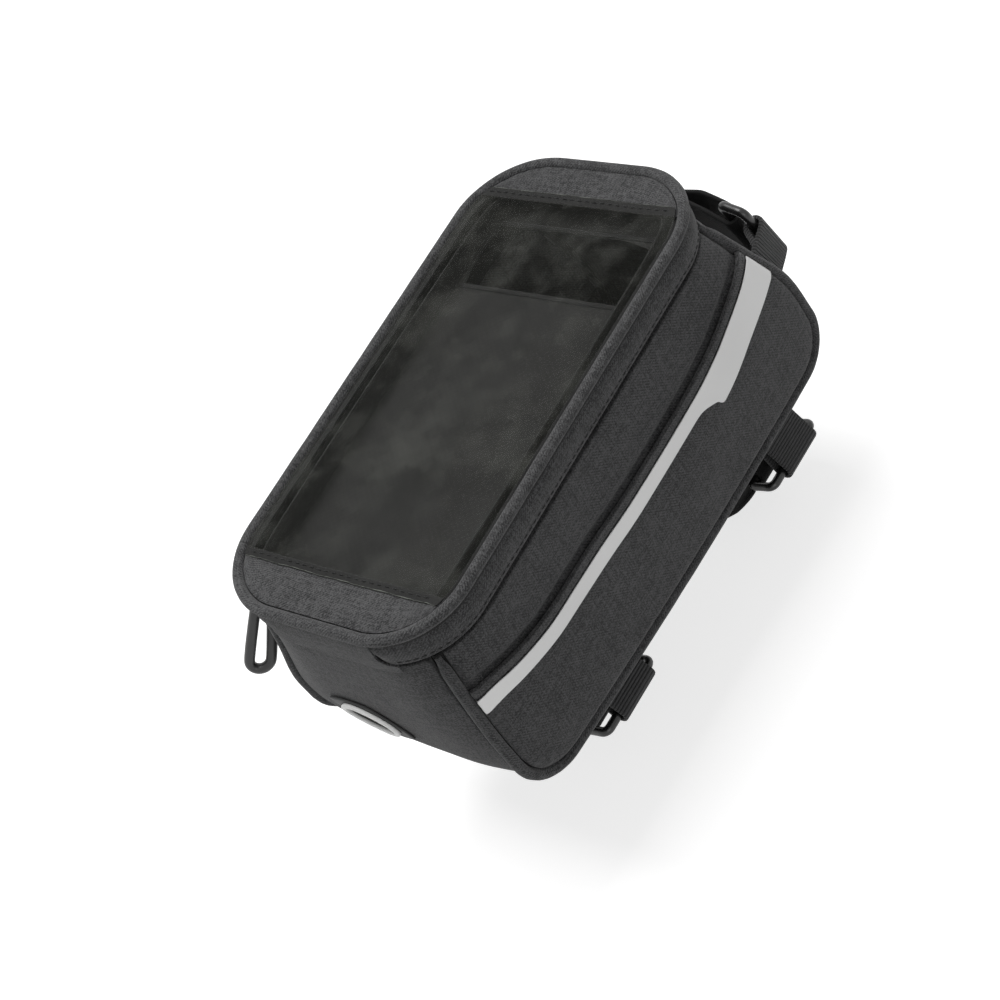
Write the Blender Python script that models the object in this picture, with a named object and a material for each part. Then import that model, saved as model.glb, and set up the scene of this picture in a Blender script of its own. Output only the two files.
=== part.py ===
# Bicycle top tube bag with a clear window in its zipped lid.
# Sizes are in millimetres and become metres where each mesh is made.
# Bag axes: +X right, +Y forward to the head tube, +Z up from the lid's seam plane.
import math

import bmesh
import bpy
from mathutils import Matrix, Vector

MM = 0.001

# Running gap between neighbouring pieces.
GAP = 0.3

# Lid outline, to the centre of its piping cord.
LID_HALF_WIDTH = 44.0
LID_HALF_LENGTH = 91.5
LID_REAR_CORNER = 25.5
LID_FRONT_CORNER = 27.5
PIPING_RADIUS = 2.0
PIPING_DROP = 1.0

# Lid cloth and window.
LID_CLOTH = 0.8
LID_CLOTH_TOP = -0.3
FILM_THICKNESS = 0.4
FILM_FRONT_Y = 77.5
FILM_REAR_Y = -75.5
FILM_OVERLAP = 3.0

# Rain flap round the lid, and the stretch at the rear that is the cloth hinge.
FLAP_OFFSET = 0.2
FLAP_THICKNESS = 1.2
FLAP_BOTTOM = -13.5
HINGE_HALF_WIDTH = 22.0
SLIT_HEIGHT = 1.5

# Zip: tapes and coils stand inside the flap, a little in from the lid outline.
ZIP_INSET = 3.4
TAPE_THICKNESS = 0.8
COIL_THICKNESS = 1.8
COIL_HEIGHT = 1.2
COIL_PARTING = 1.1
ZIP_LINE = -11.25
TAPE_LID_TOP = -2.5
TAPE_BODY_LENGTH = 9.0

# Pocket under the window, open through its floor.
SLEEVE_INSET = 7.0
SLEEVE_DEPTH = 9.8
SLEEVE_CLOTH = 0.8
SLEEVE_TOP = -1.5
MOUTH_REAR_Y = 44.0
MOUTH_FRONT_Y = 70.0
MOUTH_HALF_WIDTH = 35.0

# Body walls: padded cloth, whose rim lies just below the flap.
WALL = 2.4
BODY_INSET = 1.0
CORD_SEAM = 0.15
REAR_SWELL = -0.4
SIDE_SWELL = -1.5
FRONT_SWELL = 0.0

# Side view of the body along its lower piping.
BASE_DROP = 87.2
BASE_PITCH = math.radians(2.5)
REAR_FACE_Y = -89.6
REAR_BOTTOM_CORNER = 19.0
FRONT_FACE_Y = 100.0
FRONT_BOTTOM_CORNER = 14.0
FRONT_FACE_LEAN = (9.0, 2.4)
FRONT_FACE_SPREAD = (0.62, 0.96)
FRONT_FACE_DROP = (0.36, 0.66)
REAR_FACE_REACH = (0.40, 0.85)
REAR_FACE_SPREAD = (0.22, 0.70)
REAR_FACE_DROP = (0.34, 0.68)
LOWER_HALF_WIDTH_REAR = 42.8
LOWER_HALF_WIDTH_MIDDLE = 46.0
LOWER_HALF_WIDTH_FRONT = 44.8

# Side pockets: an outer layer with a hemmed mouth and a reflective strip.
POCKET_CLOTH = 1.0
LAYER_GAP = 0.5
HEM_HEIGHT = 2.6
HEM_THICKNESS = 1.6
STRIP_THICKNESS = 0.4
STRIP_HEIGHT = 5.6
STRIP_LOBE_HEIGHT = 13.0
STRIP_LOBE_START = 43.5
STRIP_LOBE_ROUND = 3.5
STRIP_GAP = 0.9
STRIP_LINE = [(-88.0, -35.6), (-79.5, -34.9), (-71.5, -37.0), (-62.7, -39.0), (-54.0, -40.7),
              (-39.0, -41.0), (-23.0, -42.1), (-7.0, -43.8), (9.0, -43.6), (25.0, -43.2),
              (40.5, -42.8), (55.5, -40.9), (69.0, -37.3), (76.0, -35.9), (92.0, -33.6)]

# Cable port in the rear face.
PORT_X = -8.0
PORT_Z = -54.0
PORT_HALF_WIDTH = 10.5
PORT_HALF_HEIGHT = 5.4
PORT_SLOT_HALF_WIDTH = 7.5
PORT_SLOT_HALF_HEIGHT = 3.2
PORT_TILT = math.radians(-25.0)
PORT_PATCH_HALF_WIDTH = 15.5
PORT_PATCH_HALF_HEIGHT = 7.4
PORT_PATCH_THICKNESS = 0.8
PORT_RING_WIDTH = 1.3
PORT_RING_HEIGHT = 0.7

# Base board inside, and the webbing strip below that sits on the tube.
BOARD_THICKNESS = 1.5
BOARD_HALF_WIDTH = 38.0
BOARD_REAR_Y = -66.0
BOARD_FRONT_Y = 82.0
SEAT_WIDTH = 26.0
SEAT_THICKNESS = 1.6
SEAT_STRAP_CLEARANCE = 3.0

# Webbing straps, each closed through a ring buckle on its right side.
STRAP_WIDTH = 20.0
STRAP_THICKNESS = 1.5
STRAP_FRONT_Y = 76.0
STRAP_REAR_Y = -35.6
STRAP_HALF_SPAN = 35.5
STRAP_FRONT_DEPTH = 34.5
STRAP_REAR_DEPTH = 25.5
STRAP_SAG = 7.0
STRAP_TAIL = 15.0
STRAP_TWIST = math.radians(24.0)
STRAP_SKEW = 7.0
SEWN_END = 6.0
SEWN_TURN = 19.0
SEWN_BREAK = 2.0
SEWN_ROUND = 5.5
HEAD_STRAP_HALF_SPAN = 38.5
HEAD_STRAP_DEPTH = 9.2
HEAD_STRAP_DROP = 50.5
HEAD_STRAP_SAG = 2.0
HEAD_ROOT_U = 39.0
HEAD_ROOT_V = 1.0
HEAD_ROOT_FADE = 6.0
WRAP_EASE = 0.15
TAB_WRAP = (-85, 95)
STRAP_WRAP = (-100, 95)
STRAP_LEFT_RISE = 2.0
STRAP_LEFT_ROUND = 7.0
HEAD_STRAP_ROUND = 5.0
STRAP_MIDDLE_ROUND = 30.0
RING_BAR_RADIUS = 1.7
RING_CORNER = 2.2
RING_LENGTH = 33.0
RING_SPACING = 10.0
RING_OFFSET = 2.0
RING_TILT = math.radians(12.0)

# Zip slider, parked at the rear end of the straight left run, and its loop puller.
SLIDER_SETBACK = 6.0
PIVOT_SETBACK = 5.0
SLIDER_LENGTH = 10.0
SLIDER_PLATE = 1.5
SLIDER_TOP = -8.0
SLIDER_BLADE = 0.5
LUG_HEIGHT = 5.0
LUG_THICKNESS = 1.4
PIVOT_RADIUS = 0.9
PIVOT_HEAD_RADIUS = 1.8
PIVOT_HEAD_THICKNESS = 0.7
PULLER_LENGTH = 46.5
PULLER_EYE_BAR = 1.3
PULLER_LOOP_BAR = 2.05
PULLER_HALF_WIDTH = 3.65
PULLER_HANG = math.radians(34.9)
PULLER_TWIST = math.radians(50.0)
PULLER_LEAN = 10.5

SLIDER_Y = LID_REAR_CORNER - LID_HALF_LENGTH + SLIDER_SETBACK
RIM_Z = FLAP_BOTTOM - SLIT_HEIGHT
CORD_CLEARANCE = PIPING_RADIUS + GAP


def clear_scene():
    for item in list(bpy.data.objects):
        bpy.data.objects.remove(item, do_unlink=True)


def make_material(name, color, roughness, metallic=0.0, alpha=1.0):
    material = bpy.data.materials.new(name)
    material.use_nodes = True
    shader = material.node_tree.nodes["Principled BSDF"]
    shader.inputs["Base Color"].default_value = (*color, 1.0)
    shader.inputs["Roughness"].default_value = roughness
    shader.inputs["Metallic"].default_value = metallic
    shader.inputs["Alpha"].default_value = alpha
    return material


def add_object(name, points, faces, material, parent, location=(0, 0, 0)):
    """Make one object from points in millimetres, seen from its own location."""
    place = Vector(location)
    mesh = bpy.data.meshes.new(name)
    mesh.from_pydata([(Vector(p) - place) * MM for p in points], [], faces)
    work = bmesh.new()
    work.from_mesh(mesh)
    bmesh.ops.recalc_face_normals(work, faces=work.faces)
    work.to_mesh(mesh)
    work.free()
    mesh.materials.append(material)
    item = bpy.data.objects.new(name, mesh)
    bpy.context.collection.objects.link(item)
    item.parent = parent
    item.location = place * MM
    return item


def shade_smooth(item, angle=math.radians(40)):
    item.data.shade_smooth()
    item.data.set_sharp_from_angle(angle=angle)


def thicken(item, thickness):
    layer = item.modifiers.new("cloth thickness", "SOLIDIFY")
    layer.thickness = thickness * MM
    layer.offset = 0.0
    layer.use_even_offset = False


def cut(item, cutter, operation="DIFFERENCE"):
    step = item.modifiers.new(operation.lower(), "BOOLEAN")
    step.object = cutter
    step.operation = operation
    step.solver = "EXACT"
    cutter.hide_render = True
    cutter.display_type = "WIRE"


def grid_sheet(name, rows, material, parent, thickness):
    """Sheet through rows of points, given a real thickness."""
    across = len(rows[0])
    points = [p for row in rows for p in row]
    faces = []
    for j in range(len(rows) - 1):
        for i in range(across - 1):
            low = j * across + i
            faces.append((low, low + 1, low + across + 1, low + across))
    item = add_object(name, points, faces, material, parent)
    thicken(item, thickness)
    shade_smooth(item)
    return item


def prism(name, outline, low, high, material, parent):
    """Plate with an outline in X and Y between two heights."""
    count = len(outline)
    points = [(x, y, low) for x, y in outline] + [(x, y, high) for x, y in outline]
    faces = [tuple(range(count)), tuple(range(count, 2 * count))]
    for i in range(count):
        after = (i + 1) % count
        faces.append((i, after, count + after, count + i))
    return add_object(name, points, faces, material, parent)


def extruded_section(name, section, place, length, material, parent, location=(0, 0, 0)):
    """Solid whose closed section lies in place(u, v, w), extruded along w."""
    count = len(section)
    points = [place(u, v, -length / 2) for u, v in section]
    points += [place(u, v, length / 2) for u, v in section]
    faces = [tuple(range(count)), tuple(range(count, 2 * count))]
    for i in range(count):
        after = (i + 1) % count
        faces.append((i, after, count + after, count + i))
    item = add_object(name, points, faces, material, parent, location)
    shade_smooth(item)
    return item


def smooth_path(points, steps):
    """Catmull-Rom curve through the points, with steps pieces between each pair."""
    knots = [Vector(p) for p in points]
    ends = [2 * knots[0] - knots[1]] + knots + [2 * knots[-1] - knots[-2]]
    curve = []
    for i in range(1, len(ends) - 2):
        a, b, c, d = ends[i - 1:i + 3]
        for k in range(steps):
            t = k / steps
            curve.append(0.5 * (2 * b + (c - a) * t + (2 * a - 5 * b + 4 * c - d) * t ** 2
                                + (3 * b - a - 3 * c + d) * t ** 3))
    curve.append(knots[-1])
    return curve


def along(path, share):
    """Point at a share of a path's length."""
    lengths = [0.0]
    for a, b in zip(path, path[1:]):
        lengths.append(lengths[-1] + (b - a).length)
    target = min(max(share, 0.0), 1.0) * lengths[-1]
    for i in range(len(path) - 1):
        if target <= lengths[i + 1] or i == len(path) - 2:
            step = lengths[i + 1] - lengths[i]
            return path[i].lerp(path[i + 1], (target - lengths[i]) / step if step else 0.0)
    return path[-1]


def path_length(path):
    return sum((b - a).length for a, b in zip(path, path[1:]))


def arc(center, radius, start, end, steps):
    """Points on a circle in two dimensions, from start to end in degrees."""
    turn = []
    for k in range(steps + 1):
        angle = math.radians(start + (end - start) * k / steps)
        turn.append((center[0] + radius * math.cos(angle), center[1] + radius * math.sin(angle)))
    return turn


def lid_corner(offset, front):
    """Centre and radius of the right-hand corner of the lid outline, moved out by offset."""
    radius = LID_FRONT_CORNER if front else LID_REAR_CORNER
    across = LID_HALF_WIDTH - radius
    forward = (LID_HALF_LENGTH - radius) * (1 if front else -1)
    return (across, forward), radius + offset


def lid_outline(offset, steps=6):
    """Closed lid outline from the rear middle round the right side, moved out by offset."""
    rear, rear_radius = lid_corner(offset, False)
    front, front_radius = lid_corner(offset, True)
    right = arc(rear, rear_radius, -90, 0, steps) + arc(front, front_radius, 0, 90, steps)
    left = [(-x, y) for x, y in reversed(right)]
    return right + left


def ribbon_rows(run, heights):
    return [[Vector((x, y, z)) for x, y in run] for z in heights]


def tube(name, path, radii, material, parent, closed=False, sides=8, location=(0, 0, 0), up=None):
    """Round bar along a path, with one radius a point."""
    count = len(path)
    points = []
    for i, center in enumerate(path):
        before = path[(i - 1) % count] if closed or i else path[0]
        after = path[(i + 1) % count] if closed or i < count - 1 else path[-1]
        tangent = (after - before).normalized()
        guide = up[i] if up else Vector((1.0, 0.3, 0.2))
        side = guide.cross(tangent).normalized()
        other = tangent.cross(side)
        for k in range(sides):
            angle = 2 * math.pi * k / sides
            points.append(center + radii[i] * (math.cos(angle) * side + math.sin(angle) * other))
    faces = []
    for i in range(count if closed else count - 1):
        low = i * sides
        high = ((i + 1) % count) * sides
        for k in range(sides):
            after = (k + 1) % sides
            faces.append((low + k, low + after, high + after, high + k))
    if not closed:
        faces.append(tuple(range(sides)))
        faces.append(tuple(range((count - 1) * sides, count * sides)))
    item = add_object(name, points, faces, material, parent, location)
    shade_smooth(item, math.radians(60))
    return item


def base_line(y):
    """Height of the lower piping's centre at a place along the bag."""
    return -BASE_DROP - y * math.tan(BASE_PITCH)


def lower_half_width(y):
    """Half width of the bag along its lower piping."""
    share = (y - REAR_FACE_Y) / (FRONT_FACE_Y - REAR_FACE_Y)
    ends = LOWER_HALF_WIDTH_REAR + (LOWER_HALF_WIDTH_FRONT - LOWER_HALF_WIDTH_REAR) * share
    middle = LOWER_HALF_WIDTH_MIDDLE - (LOWER_HALF_WIDTH_REAR + LOWER_HALF_WIDTH_FRONT) / 2
    return ends + middle * math.sin(math.pi * min(max(share, 0.0), 1.0))


def corner_point(front, offset, height):
    """Middle of the lid outline's right-hand corner arc, at a height."""
    center, radius = lid_corner(offset, front)
    reach = radius * math.sqrt(0.5)
    return Vector((center[0] + reach, center[1] + (reach if front else -reach), height))


def rear_edge():
    """Right rear piping from the rim down to the end of the rear bottom corner."""
    top = corner_point(False, 0.0, RIM_Z)
    center_y = REAR_FACE_Y + REAR_BOTTOM_CORNER
    center_z = base_line(center_y) + REAR_BOTTOM_CORNER
    drop = center_z - top.z
    spread = LOWER_HALF_WIDTH_REAR - top.x
    reach = REAR_FACE_Y - top.y
    knots = [top]
    for x, y, z in zip(REAR_FACE_SPREAD, REAR_FACE_REACH, REAR_FACE_DROP):
        knots.append(Vector((top.x + x * spread, top.y + y * reach, top.z + z * drop)))
    knots.append(Vector((LOWER_HALF_WIDTH_REAR, REAR_FACE_Y, center_z)))
    fall = smooth_path(knots, 4)
    turn = arc((center_y, center_z), REAR_BOTTOM_CORNER, 180, 270, 8)[1:]
    return fall + [Vector((lower_half_width(y), y, z)) for y, z in turn]


def front_edge():
    """Right front piping from the rim down to the end of the front bottom corner."""
    top = corner_point(True, 0.0, RIM_Z)
    center_y = FRONT_FACE_Y - FRONT_BOTTOM_CORNER
    center_z = base_line(center_y) + FRONT_BOTTOM_CORNER
    drop = center_z - top.z
    spread = LOWER_HALF_WIDTH_FRONT - top.x
    knots = [top]
    for x, lean, z in zip(FRONT_FACE_SPREAD, FRONT_FACE_LEAN, FRONT_FACE_DROP):
        knots.append(Vector((top.x + x * spread, FRONT_FACE_Y - lean, top.z + z * drop)))
    knots.append(Vector((LOWER_HALF_WIDTH_FRONT, FRONT_FACE_Y, center_z)))
    fall = smooth_path(knots, 4)
    turn = arc((center_y, center_z), FRONT_BOTTOM_CORNER, 0, -90, 8)[1:]
    return fall + [Vector((lower_half_width(y), y, z)) for y, z in turn]


def base_edge(steps=8):
    """Right lower piping between the two bottom corners, rear to front."""
    start = REAR_FACE_Y + REAR_BOTTOM_CORNER
    end = FRONT_FACE_Y - FRONT_BOTTOM_CORNER
    places = [start + (end - start) * k / steps for k in range(steps + 1)]
    return [Vector((lower_half_width(y), y, base_line(y))) for y in places]


def split_corner(edge, turn_steps=8):
    """Cut an edge path at the middle of its bottom corner."""
    middle = len(edge) - 1 - turn_steps // 2
    return edge[:middle + 1], edge[middle:]


def coons(top, bottom, left, right, u, v):
    """Surface between four edges; u runs left to right and v runs top to bottom."""
    across = along(top, u) * (1 - v) + along(bottom, u) * v
    down = along(left, v) * (1 - u) + along(right, v) * u
    corners = (top[0] * (1 - u) + top[-1] * u) * (1 - v)
    corners += (bottom[0] * (1 - u) + bottom[-1] * u) * v
    return across + down - corners


class Panel:
    """One outer wall of the body: a surface between four edges, swollen by a set amount."""

    def __init__(self, top, bottom, left, right, swell, out):
        self.top = top
        self.bottom = bottom
        self.left = left
        self.right = right
        self.swell = swell
        self.out = Vector(out)
        self.inset = BODY_INSET

    def flat(self, u, v):
        return coons(self.top, self.bottom, self.left, self.right, u, v)

    def normal(self, u, v, step=0.01):
        across = self.flat(min(u + step, 1), v) - self.flat(max(u - step, 0), v)
        down = self.flat(u, min(v + step, 1)) - self.flat(u, max(v - step, 0))
        face = across.cross(down).normalized()
        return face if face.dot(self.out) > 0 else -face

    def point(self, u, v, offset=0.0):
        swell = self.swell * math.sin(math.pi * u) * math.sin(math.pi * v)
        return self.flat(u, v) + self.normal(u, v) * (offset + swell - self.inset)

    def moved_edge(self, edge, place):
        """Edge moved into the panel, clear of the piping cord that runs along it."""
        middle = self.flat(0.5, 0.5)
        shares = [path_length(edge[:k + 1]) / path_length(edge) for k in range(len(edge))]
        moved = []
        for k, share in enumerate(shares):
            tangent = edge[min(k + 1, len(edge) - 1)] - edge[max(k - 1, 0)]
            side = self.normal(*place(share)).cross(tangent).normalized()
            if side.dot(middle - edge[k]) < 0:
                side.negate()
            moved.append(edge[k] + side * (CORD_CLEARANCE + CORD_SEAM))
        return moved

    def inside_cords(self, trim_bottom):
        """The same panel with its corded edges moved in, joined at the corners."""
        left = self.moved_edge(self.left, lambda t: (0.0, t))
        right = self.moved_edge(self.right, lambda t: (1.0, t))
        bottom = list(self.bottom)
        if trim_bottom:
            bottom = self.moved_edge(self.bottom, lambda t: (t, 1.0))
        top = [left[0]] + self.top[1:-1] + [right[0]]
        bottom = [left[-1]] + bottom[1:-1] + [right[-1]]
        return Panel(top, bottom, left, right, self.swell, self.out)


def vectors(points, height):
    return [Vector((x, y, height)) for x, y in points]


def side_panel_surface():
    """Right wall, between the rim, the two end edges and the lower piping."""
    rear, rear_radius = lid_corner(0.0, False)
    front, front_radius = lid_corner(0.0, True)
    top = vectors(arc(rear, rear_radius, -45, 0, 6) + arc(front, front_radius, 0, 45, 6), RIM_Z)
    rear_fall, rear_turn = split_corner(rear_edge())
    front_fall, front_turn = split_corner(front_edge())
    bottom = rear_turn + base_edge()[1:-1] + front_turn[::-1]
    wall = Panel(top, bottom, rear_fall, front_fall, SIDE_SWELL, (1, 0, 0))
    return wall.inside_cords(True)


def end_panel_surface(front):
    """Rear or front wall, with its bottom corner, from the left edge to the right edge."""
    right = front_edge() if front else rear_edge()
    left = [Vector((-p.x, p.y, p.z)) for p in right]
    center, radius = lid_corner(0.0, front)
    sweep = arc(center, radius, 90, 45, 6) if front else arc(center, radius, -90, -45, 6)
    top = vectors([(-x, y) for x, y in reversed(sweep)] + sweep, RIM_Z)
    bottom = [left[-1], (left[-1] + right[-1]) / 2, right[-1]]
    swell = FRONT_SWELL if front else REAR_SWELL
    wall = Panel(top, bottom, left, right, swell, (0, 1 if front else -1, -0.4))
    return wall.inside_cords(False)


def panel_rows(panel, across_steps, down_steps, offset=0.0):
    rows = []
    for j in range(down_steps + 1):
        v = j / down_steps
        rows.append([panel.point(i / across_steps, v, offset) for i in range(across_steps + 1)])
    return rows


def mirrored(rows):
    return [[Vector((-p.x, p.y, p.z)) for p in row] for row in rows]


def line_height(line, y):
    """Height of a line through points at a place along the bag."""
    if y <= line[0][0]:
        return line[0][1]
    for (y0, z0), (y1, z1) in zip(line, line[1:]):
        if y <= y1:
            return z0 + (z1 - z0) * (y - y0) / (y1 - y0)
    return line[-1][1]


def share_at_height(panel, u, height_at, offset):
    """Downward share at which a panel's column meets a height that depends on Y."""
    low, high = 0.0, 1.0
    for _ in range(24):
        middle = (low + high) / 2
        p = panel.point(u, middle, offset)
        if p.z > height_at(p.y):
            low = middle
        else:
            high = middle
    return (low + high) / 2


def share_at_station(panel, y, v):
    """Share across the side wall at a place along the bag."""
    low, high = 0.0, 1.0
    for _ in range(24):
        middle = (low + high) / 2
        if panel.flat(middle, v).y < y:
            low = middle
        else:
            high = middle
    return (low + high) / 2


def side_layer_rows(panel, offset, upper, lower, shares, down_steps):
    """Rows of a layer on the side wall between two height lines."""
    columns = []
    for u in shares:
        v_top = share_at_height(panel, u, upper, offset)
        v_low = 1.0 if lower is None else share_at_height(panel, u, lower, offset)
        columns.append([panel.point(u, v_top + (v_low - v_top) * j / down_steps, offset)
                        for j in range(down_steps + 1)])
    return [[column[j] for column in columns] for j in range(down_steps + 1)]


def strip_height(y):
    """Height of the reflective strip, which widens into a round-ended lobe at the front."""
    share = min(max((y - STRIP_LOBE_START) / STRIP_LOBE_ROUND, 0.0), 1.0)
    return STRIP_HEIGHT + (STRIP_LOBE_HEIGHT - STRIP_HEIGHT) * math.sqrt(1 - (1 - share) ** 2)


def make_lid(parent, paint):
    """Top cloth, window, piping, flap, zip half and window pocket of the lid."""
    outline = lid_outline(-CORD_CLEARANCE)
    top = LID_CLOTH_TOP
    front = clip_outline(outline, FILM_FRONT_Y - FILM_OVERLAP, True)
    rear = clip_outline(outline, FILM_REAR_Y + FILM_OVERLAP, False)
    prism("lid_front_panel", front, top - LID_CLOTH, top, paint["cloth"], parent)
    prism("lid_rear_panel", rear, top - LID_CLOTH, top, paint["cloth"], parent)
    film = clip_outline(clip_outline(outline, FILM_REAR_Y, True), FILM_FRONT_Y, False)
    film_low = top + GAP
    prism("window_film", film, film_low, film_low + FILM_THICKNESS, paint["film"], parent)

    cord = vectors(lid_outline(0.0, 8), -PIPING_DROP)
    up = [Vector((0, 0, 1))] * len(cord)
    radii = [PIPING_RADIUS] * len(cord)
    tube("lid_piping", cord, radii, paint["piping"], parent, closed=True, up=up)

    flap_top = -PIPING_DROP - CORD_CLEARANCE
    rows = ribbon_rows(hinge_free_run(FLAP_OFFSET), (flap_top, FLAP_BOTTOM))
    grid_sheet("rain_flap", rows, paint["cloth"], parent, FLAP_THICKNESS)
    rear_y = -LID_HALF_LENGTH - FLAP_OFFSET
    half = HINGE_HALF_WIDTH - GAP
    rows = ribbon_rows([(-half, rear_y), (0, rear_y), (half, rear_y)], (flap_top, FLAP_BOTTOM))
    grid_sheet("lid_hinge_band", rows, paint["cloth"], parent, FLAP_THICKNESS)

    coil_low = ZIP_LINE + COIL_PARTING / 2
    run = hinge_free_run(-ZIP_INSET)
    rows = ribbon_rows(run, (TAPE_LID_TOP, coil_low + COIL_HEIGHT + GAP))
    grid_sheet("zip_tape_lid", rows, paint["tape"], parent, TAPE_THICKNESS)
    rows = ribbon_rows(run, (coil_low + COIL_HEIGHT, coil_low))
    grid_sheet("zip_coil_lid", rows, paint["coil"], parent, COIL_THICKNESS)
    make_sleeve(parent, paint)


def hinge_free_run(offset):
    """Run round the lid outline that leaves out the stretch of the cloth hinge."""
    run = lid_outline(offset)
    if HINGE_HALF_WIDTH <= LID_HALF_WIDTH - LID_REAR_CORNER:
        return [(HINGE_HALF_WIDTH, run[0][1])] + run + [(-HINGE_HALF_WIDTH, run[0][1])]
    kept = [p for p in run if p[1] > 0 or abs(p[0]) > HINGE_HALF_WIDTH + 1.0]
    center, radius = lid_corner(offset, False)
    start_y = center[1] - math.sqrt(radius ** 2 - (HINGE_HALF_WIDTH - center[0]) ** 2)
    return [(HINGE_HALF_WIDTH, start_y)] + kept + [(-HINGE_HALF_WIDTH, start_y)]


def clip_outline(outline, y_cut, keep_front):
    """Part of a closed outline in front of or behind a straight cut across it."""
    kept = []
    count = len(outline)
    for i in range(count):
        a, b = outline[i], outline[(i + 1) % count]
        inside_a = (a[1] >= y_cut) == keep_front
        inside_b = (b[1] >= y_cut) == keep_front
        if inside_a:
            kept.append(a)
        if inside_a != inside_b:
            t = (y_cut - a[1]) / (b[1] - a[1])
            kept.append((a[0] + (b[0] - a[0]) * t, y_cut))
    return kept


def make_sleeve(parent, paint):
    """Shallow cloth tray under the window, with a mouth in its floor."""
    outline = lid_outline(-SLEEVE_INSET, 4)
    count = len(outline)
    low = -SLEEVE_DEPTH
    points = [(x, y, SLEEVE_TOP) for x, y in outline] + [(x, y, low) for x, y in outline]
    faces = [tuple(range(count, 2 * count))]
    for i in range(count):
        after = (i + 1) % count
        faces.append((i, after, count + after, count + i))
    sleeve = add_object("window_sleeve", points, faces, paint["lining"], parent)
    thicken(sleeve, SLEEVE_CLOTH)
    mouth = [(-MOUTH_HALF_WIDTH, MOUTH_REAR_Y), (MOUTH_HALF_WIDTH, MOUTH_REAR_Y),
             (MOUTH_HALF_WIDTH, MOUTH_FRONT_Y), (-MOUTH_HALF_WIDTH, MOUTH_FRONT_Y)]
    depth = 2 * SLEEVE_CLOTH
    cutter = prism("sleeve_mouth_cutter", mouth, low - depth, low + depth, paint["lining"], parent)
    cut(sleeve, cutter)


def make_body(parent, paint):
    """Padded walls, lower piping, body half of the zip and the base board."""
    side = side_panel_surface()
    rows = panel_rows(side, 20, 10)
    grid_sheet("side_panel_right", rows, paint["cloth"], parent, WALL)
    grid_sheet("side_panel_left", mirrored(rows), paint["cloth"], parent, WALL)

    rear = end_panel_surface(False)
    rear_panel = grid_sheet("rear_panel", panel_rows(rear, 12, 14), paint["cloth"], parent, WALL)
    rows = panel_rows(end_panel_surface(True), 12, 14)
    grid_sheet("front_panel", rows, paint["cloth"], parent, WALL)

    edge = base_edge()
    rows = []
    for k in range(len(edge)):
        y = edge[k].y
        if k == 0:
            y += 2 * GAP
        elif k == len(edge) - 1:
            y -= 2 * GAP
        half = lower_half_width(y) - CORD_CLEARANCE - CORD_SEAM
        rows.append([Vector((x, y, base_line(y) + BODY_INSET)) for x in (-half, 0, half)])
    grid_sheet("base_panel", rows, paint["cloth"], parent, WALL)

    for name, sign in (("side_piping_right", 1), ("side_piping_left", -1)):
        cord = rear_edge() + base_edge()[1:-1] + front_edge()[::-1]
        cord = [Vector((sign * p.x, p.y, p.z)) for p in cord]
        up = [Vector((sign, 0, 0))] * len(cord)
        tube(name, cord, [PIPING_RADIUS] * len(cord), paint["piping"], parent, up=up)

    coil_top = ZIP_LINE - COIL_PARTING / 2
    run = hinge_free_run(-ZIP_INSET)
    rows = ribbon_rows(run, (coil_top, coil_top - COIL_HEIGHT))
    grid_sheet("zip_coil_body", rows, paint["coil"], parent, COIL_THICKNESS)
    tape_top = coil_top - COIL_HEIGHT - GAP
    rows = ribbon_rows(run, (tape_top, tape_top - TAPE_BODY_LENGTH))
    grid_sheet("zip_tape_body", rows, paint["tape"], parent, TAPE_THICKNESS)

    board = []
    for y in (BOARD_REAR_Y, BOARD_FRONT_Y):
        z = base_line(y) + BODY_INSET + WALL / 2 + GAP + BOARD_THICKNESS / 2
        board.append([Vector((x, y, z)) for x in (-BOARD_HALF_WIDTH, 0, BOARD_HALF_WIDTH)])
    grid_sheet("base_board", board, paint["board"], parent, BOARD_THICKNESS)
    make_port(parent, paint, rear, rear_panel)


def make_pockets(parent, paint):
    """Outer pocket layer, hem and reflective strip on each side."""
    side = side_panel_surface()
    cloth_offset = WALL / 2 + LAYER_GAP + POCKET_CLOTH / 2
    hem_offset = WALL / 2 + LAYER_GAP + HEM_THICKNESS / 2
    strip_offset = cloth_offset + POCKET_CLOTH / 2 + GAP + STRIP_THICKNESS / 2

    def strip_top(y):
        return line_height(STRIP_LINE, y)

    def strip_low(y):
        return strip_top(y) - strip_height(y)

    def hem_low(y):
        return strip_top(y) + STRIP_GAP

    def mouth(y):
        return hem_low(y) + HEM_HEIGHT

    def cloth_top(y):
        return hem_low(y) - 2 * GAP

    even = [k / 20 for k in range(21)]
    lobe = share_at_station(side, STRIP_LOBE_START, 0.4)
    end = share_at_station(side, STRIP_LOBE_START + STRIP_LOBE_ROUND, 0.4)
    turn = [lobe + (end - lobe) * t for t in (0.0, 0.06, 0.25, 0.55, 1.0)]
    fine = sorted([k / 26 for k in range(27) if not lobe - 0.01 < k / 26 < end + 0.01] + turn)
    layers = (("side_pocket", cloth_offset, cloth_top, None, even, 7, "cloth", POCKET_CLOTH),
              ("pocket_hem", hem_offset, mouth, hem_low, even, 1, "cloth", HEM_THICKNESS),
              ("reflective_strip", strip_offset, strip_top, strip_low, fine, 1, "strip",
               STRIP_THICKNESS))
    for name, offset, upper, lower, shares, down, color, thickness in layers:
        rows = side_layer_rows(side, offset, upper, lower, shares, down)
        grid_sheet(name + "_right", rows, paint[color], parent, thickness)
        grid_sheet(name + "_left", mirrored(rows), paint[color], parent, thickness)


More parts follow.
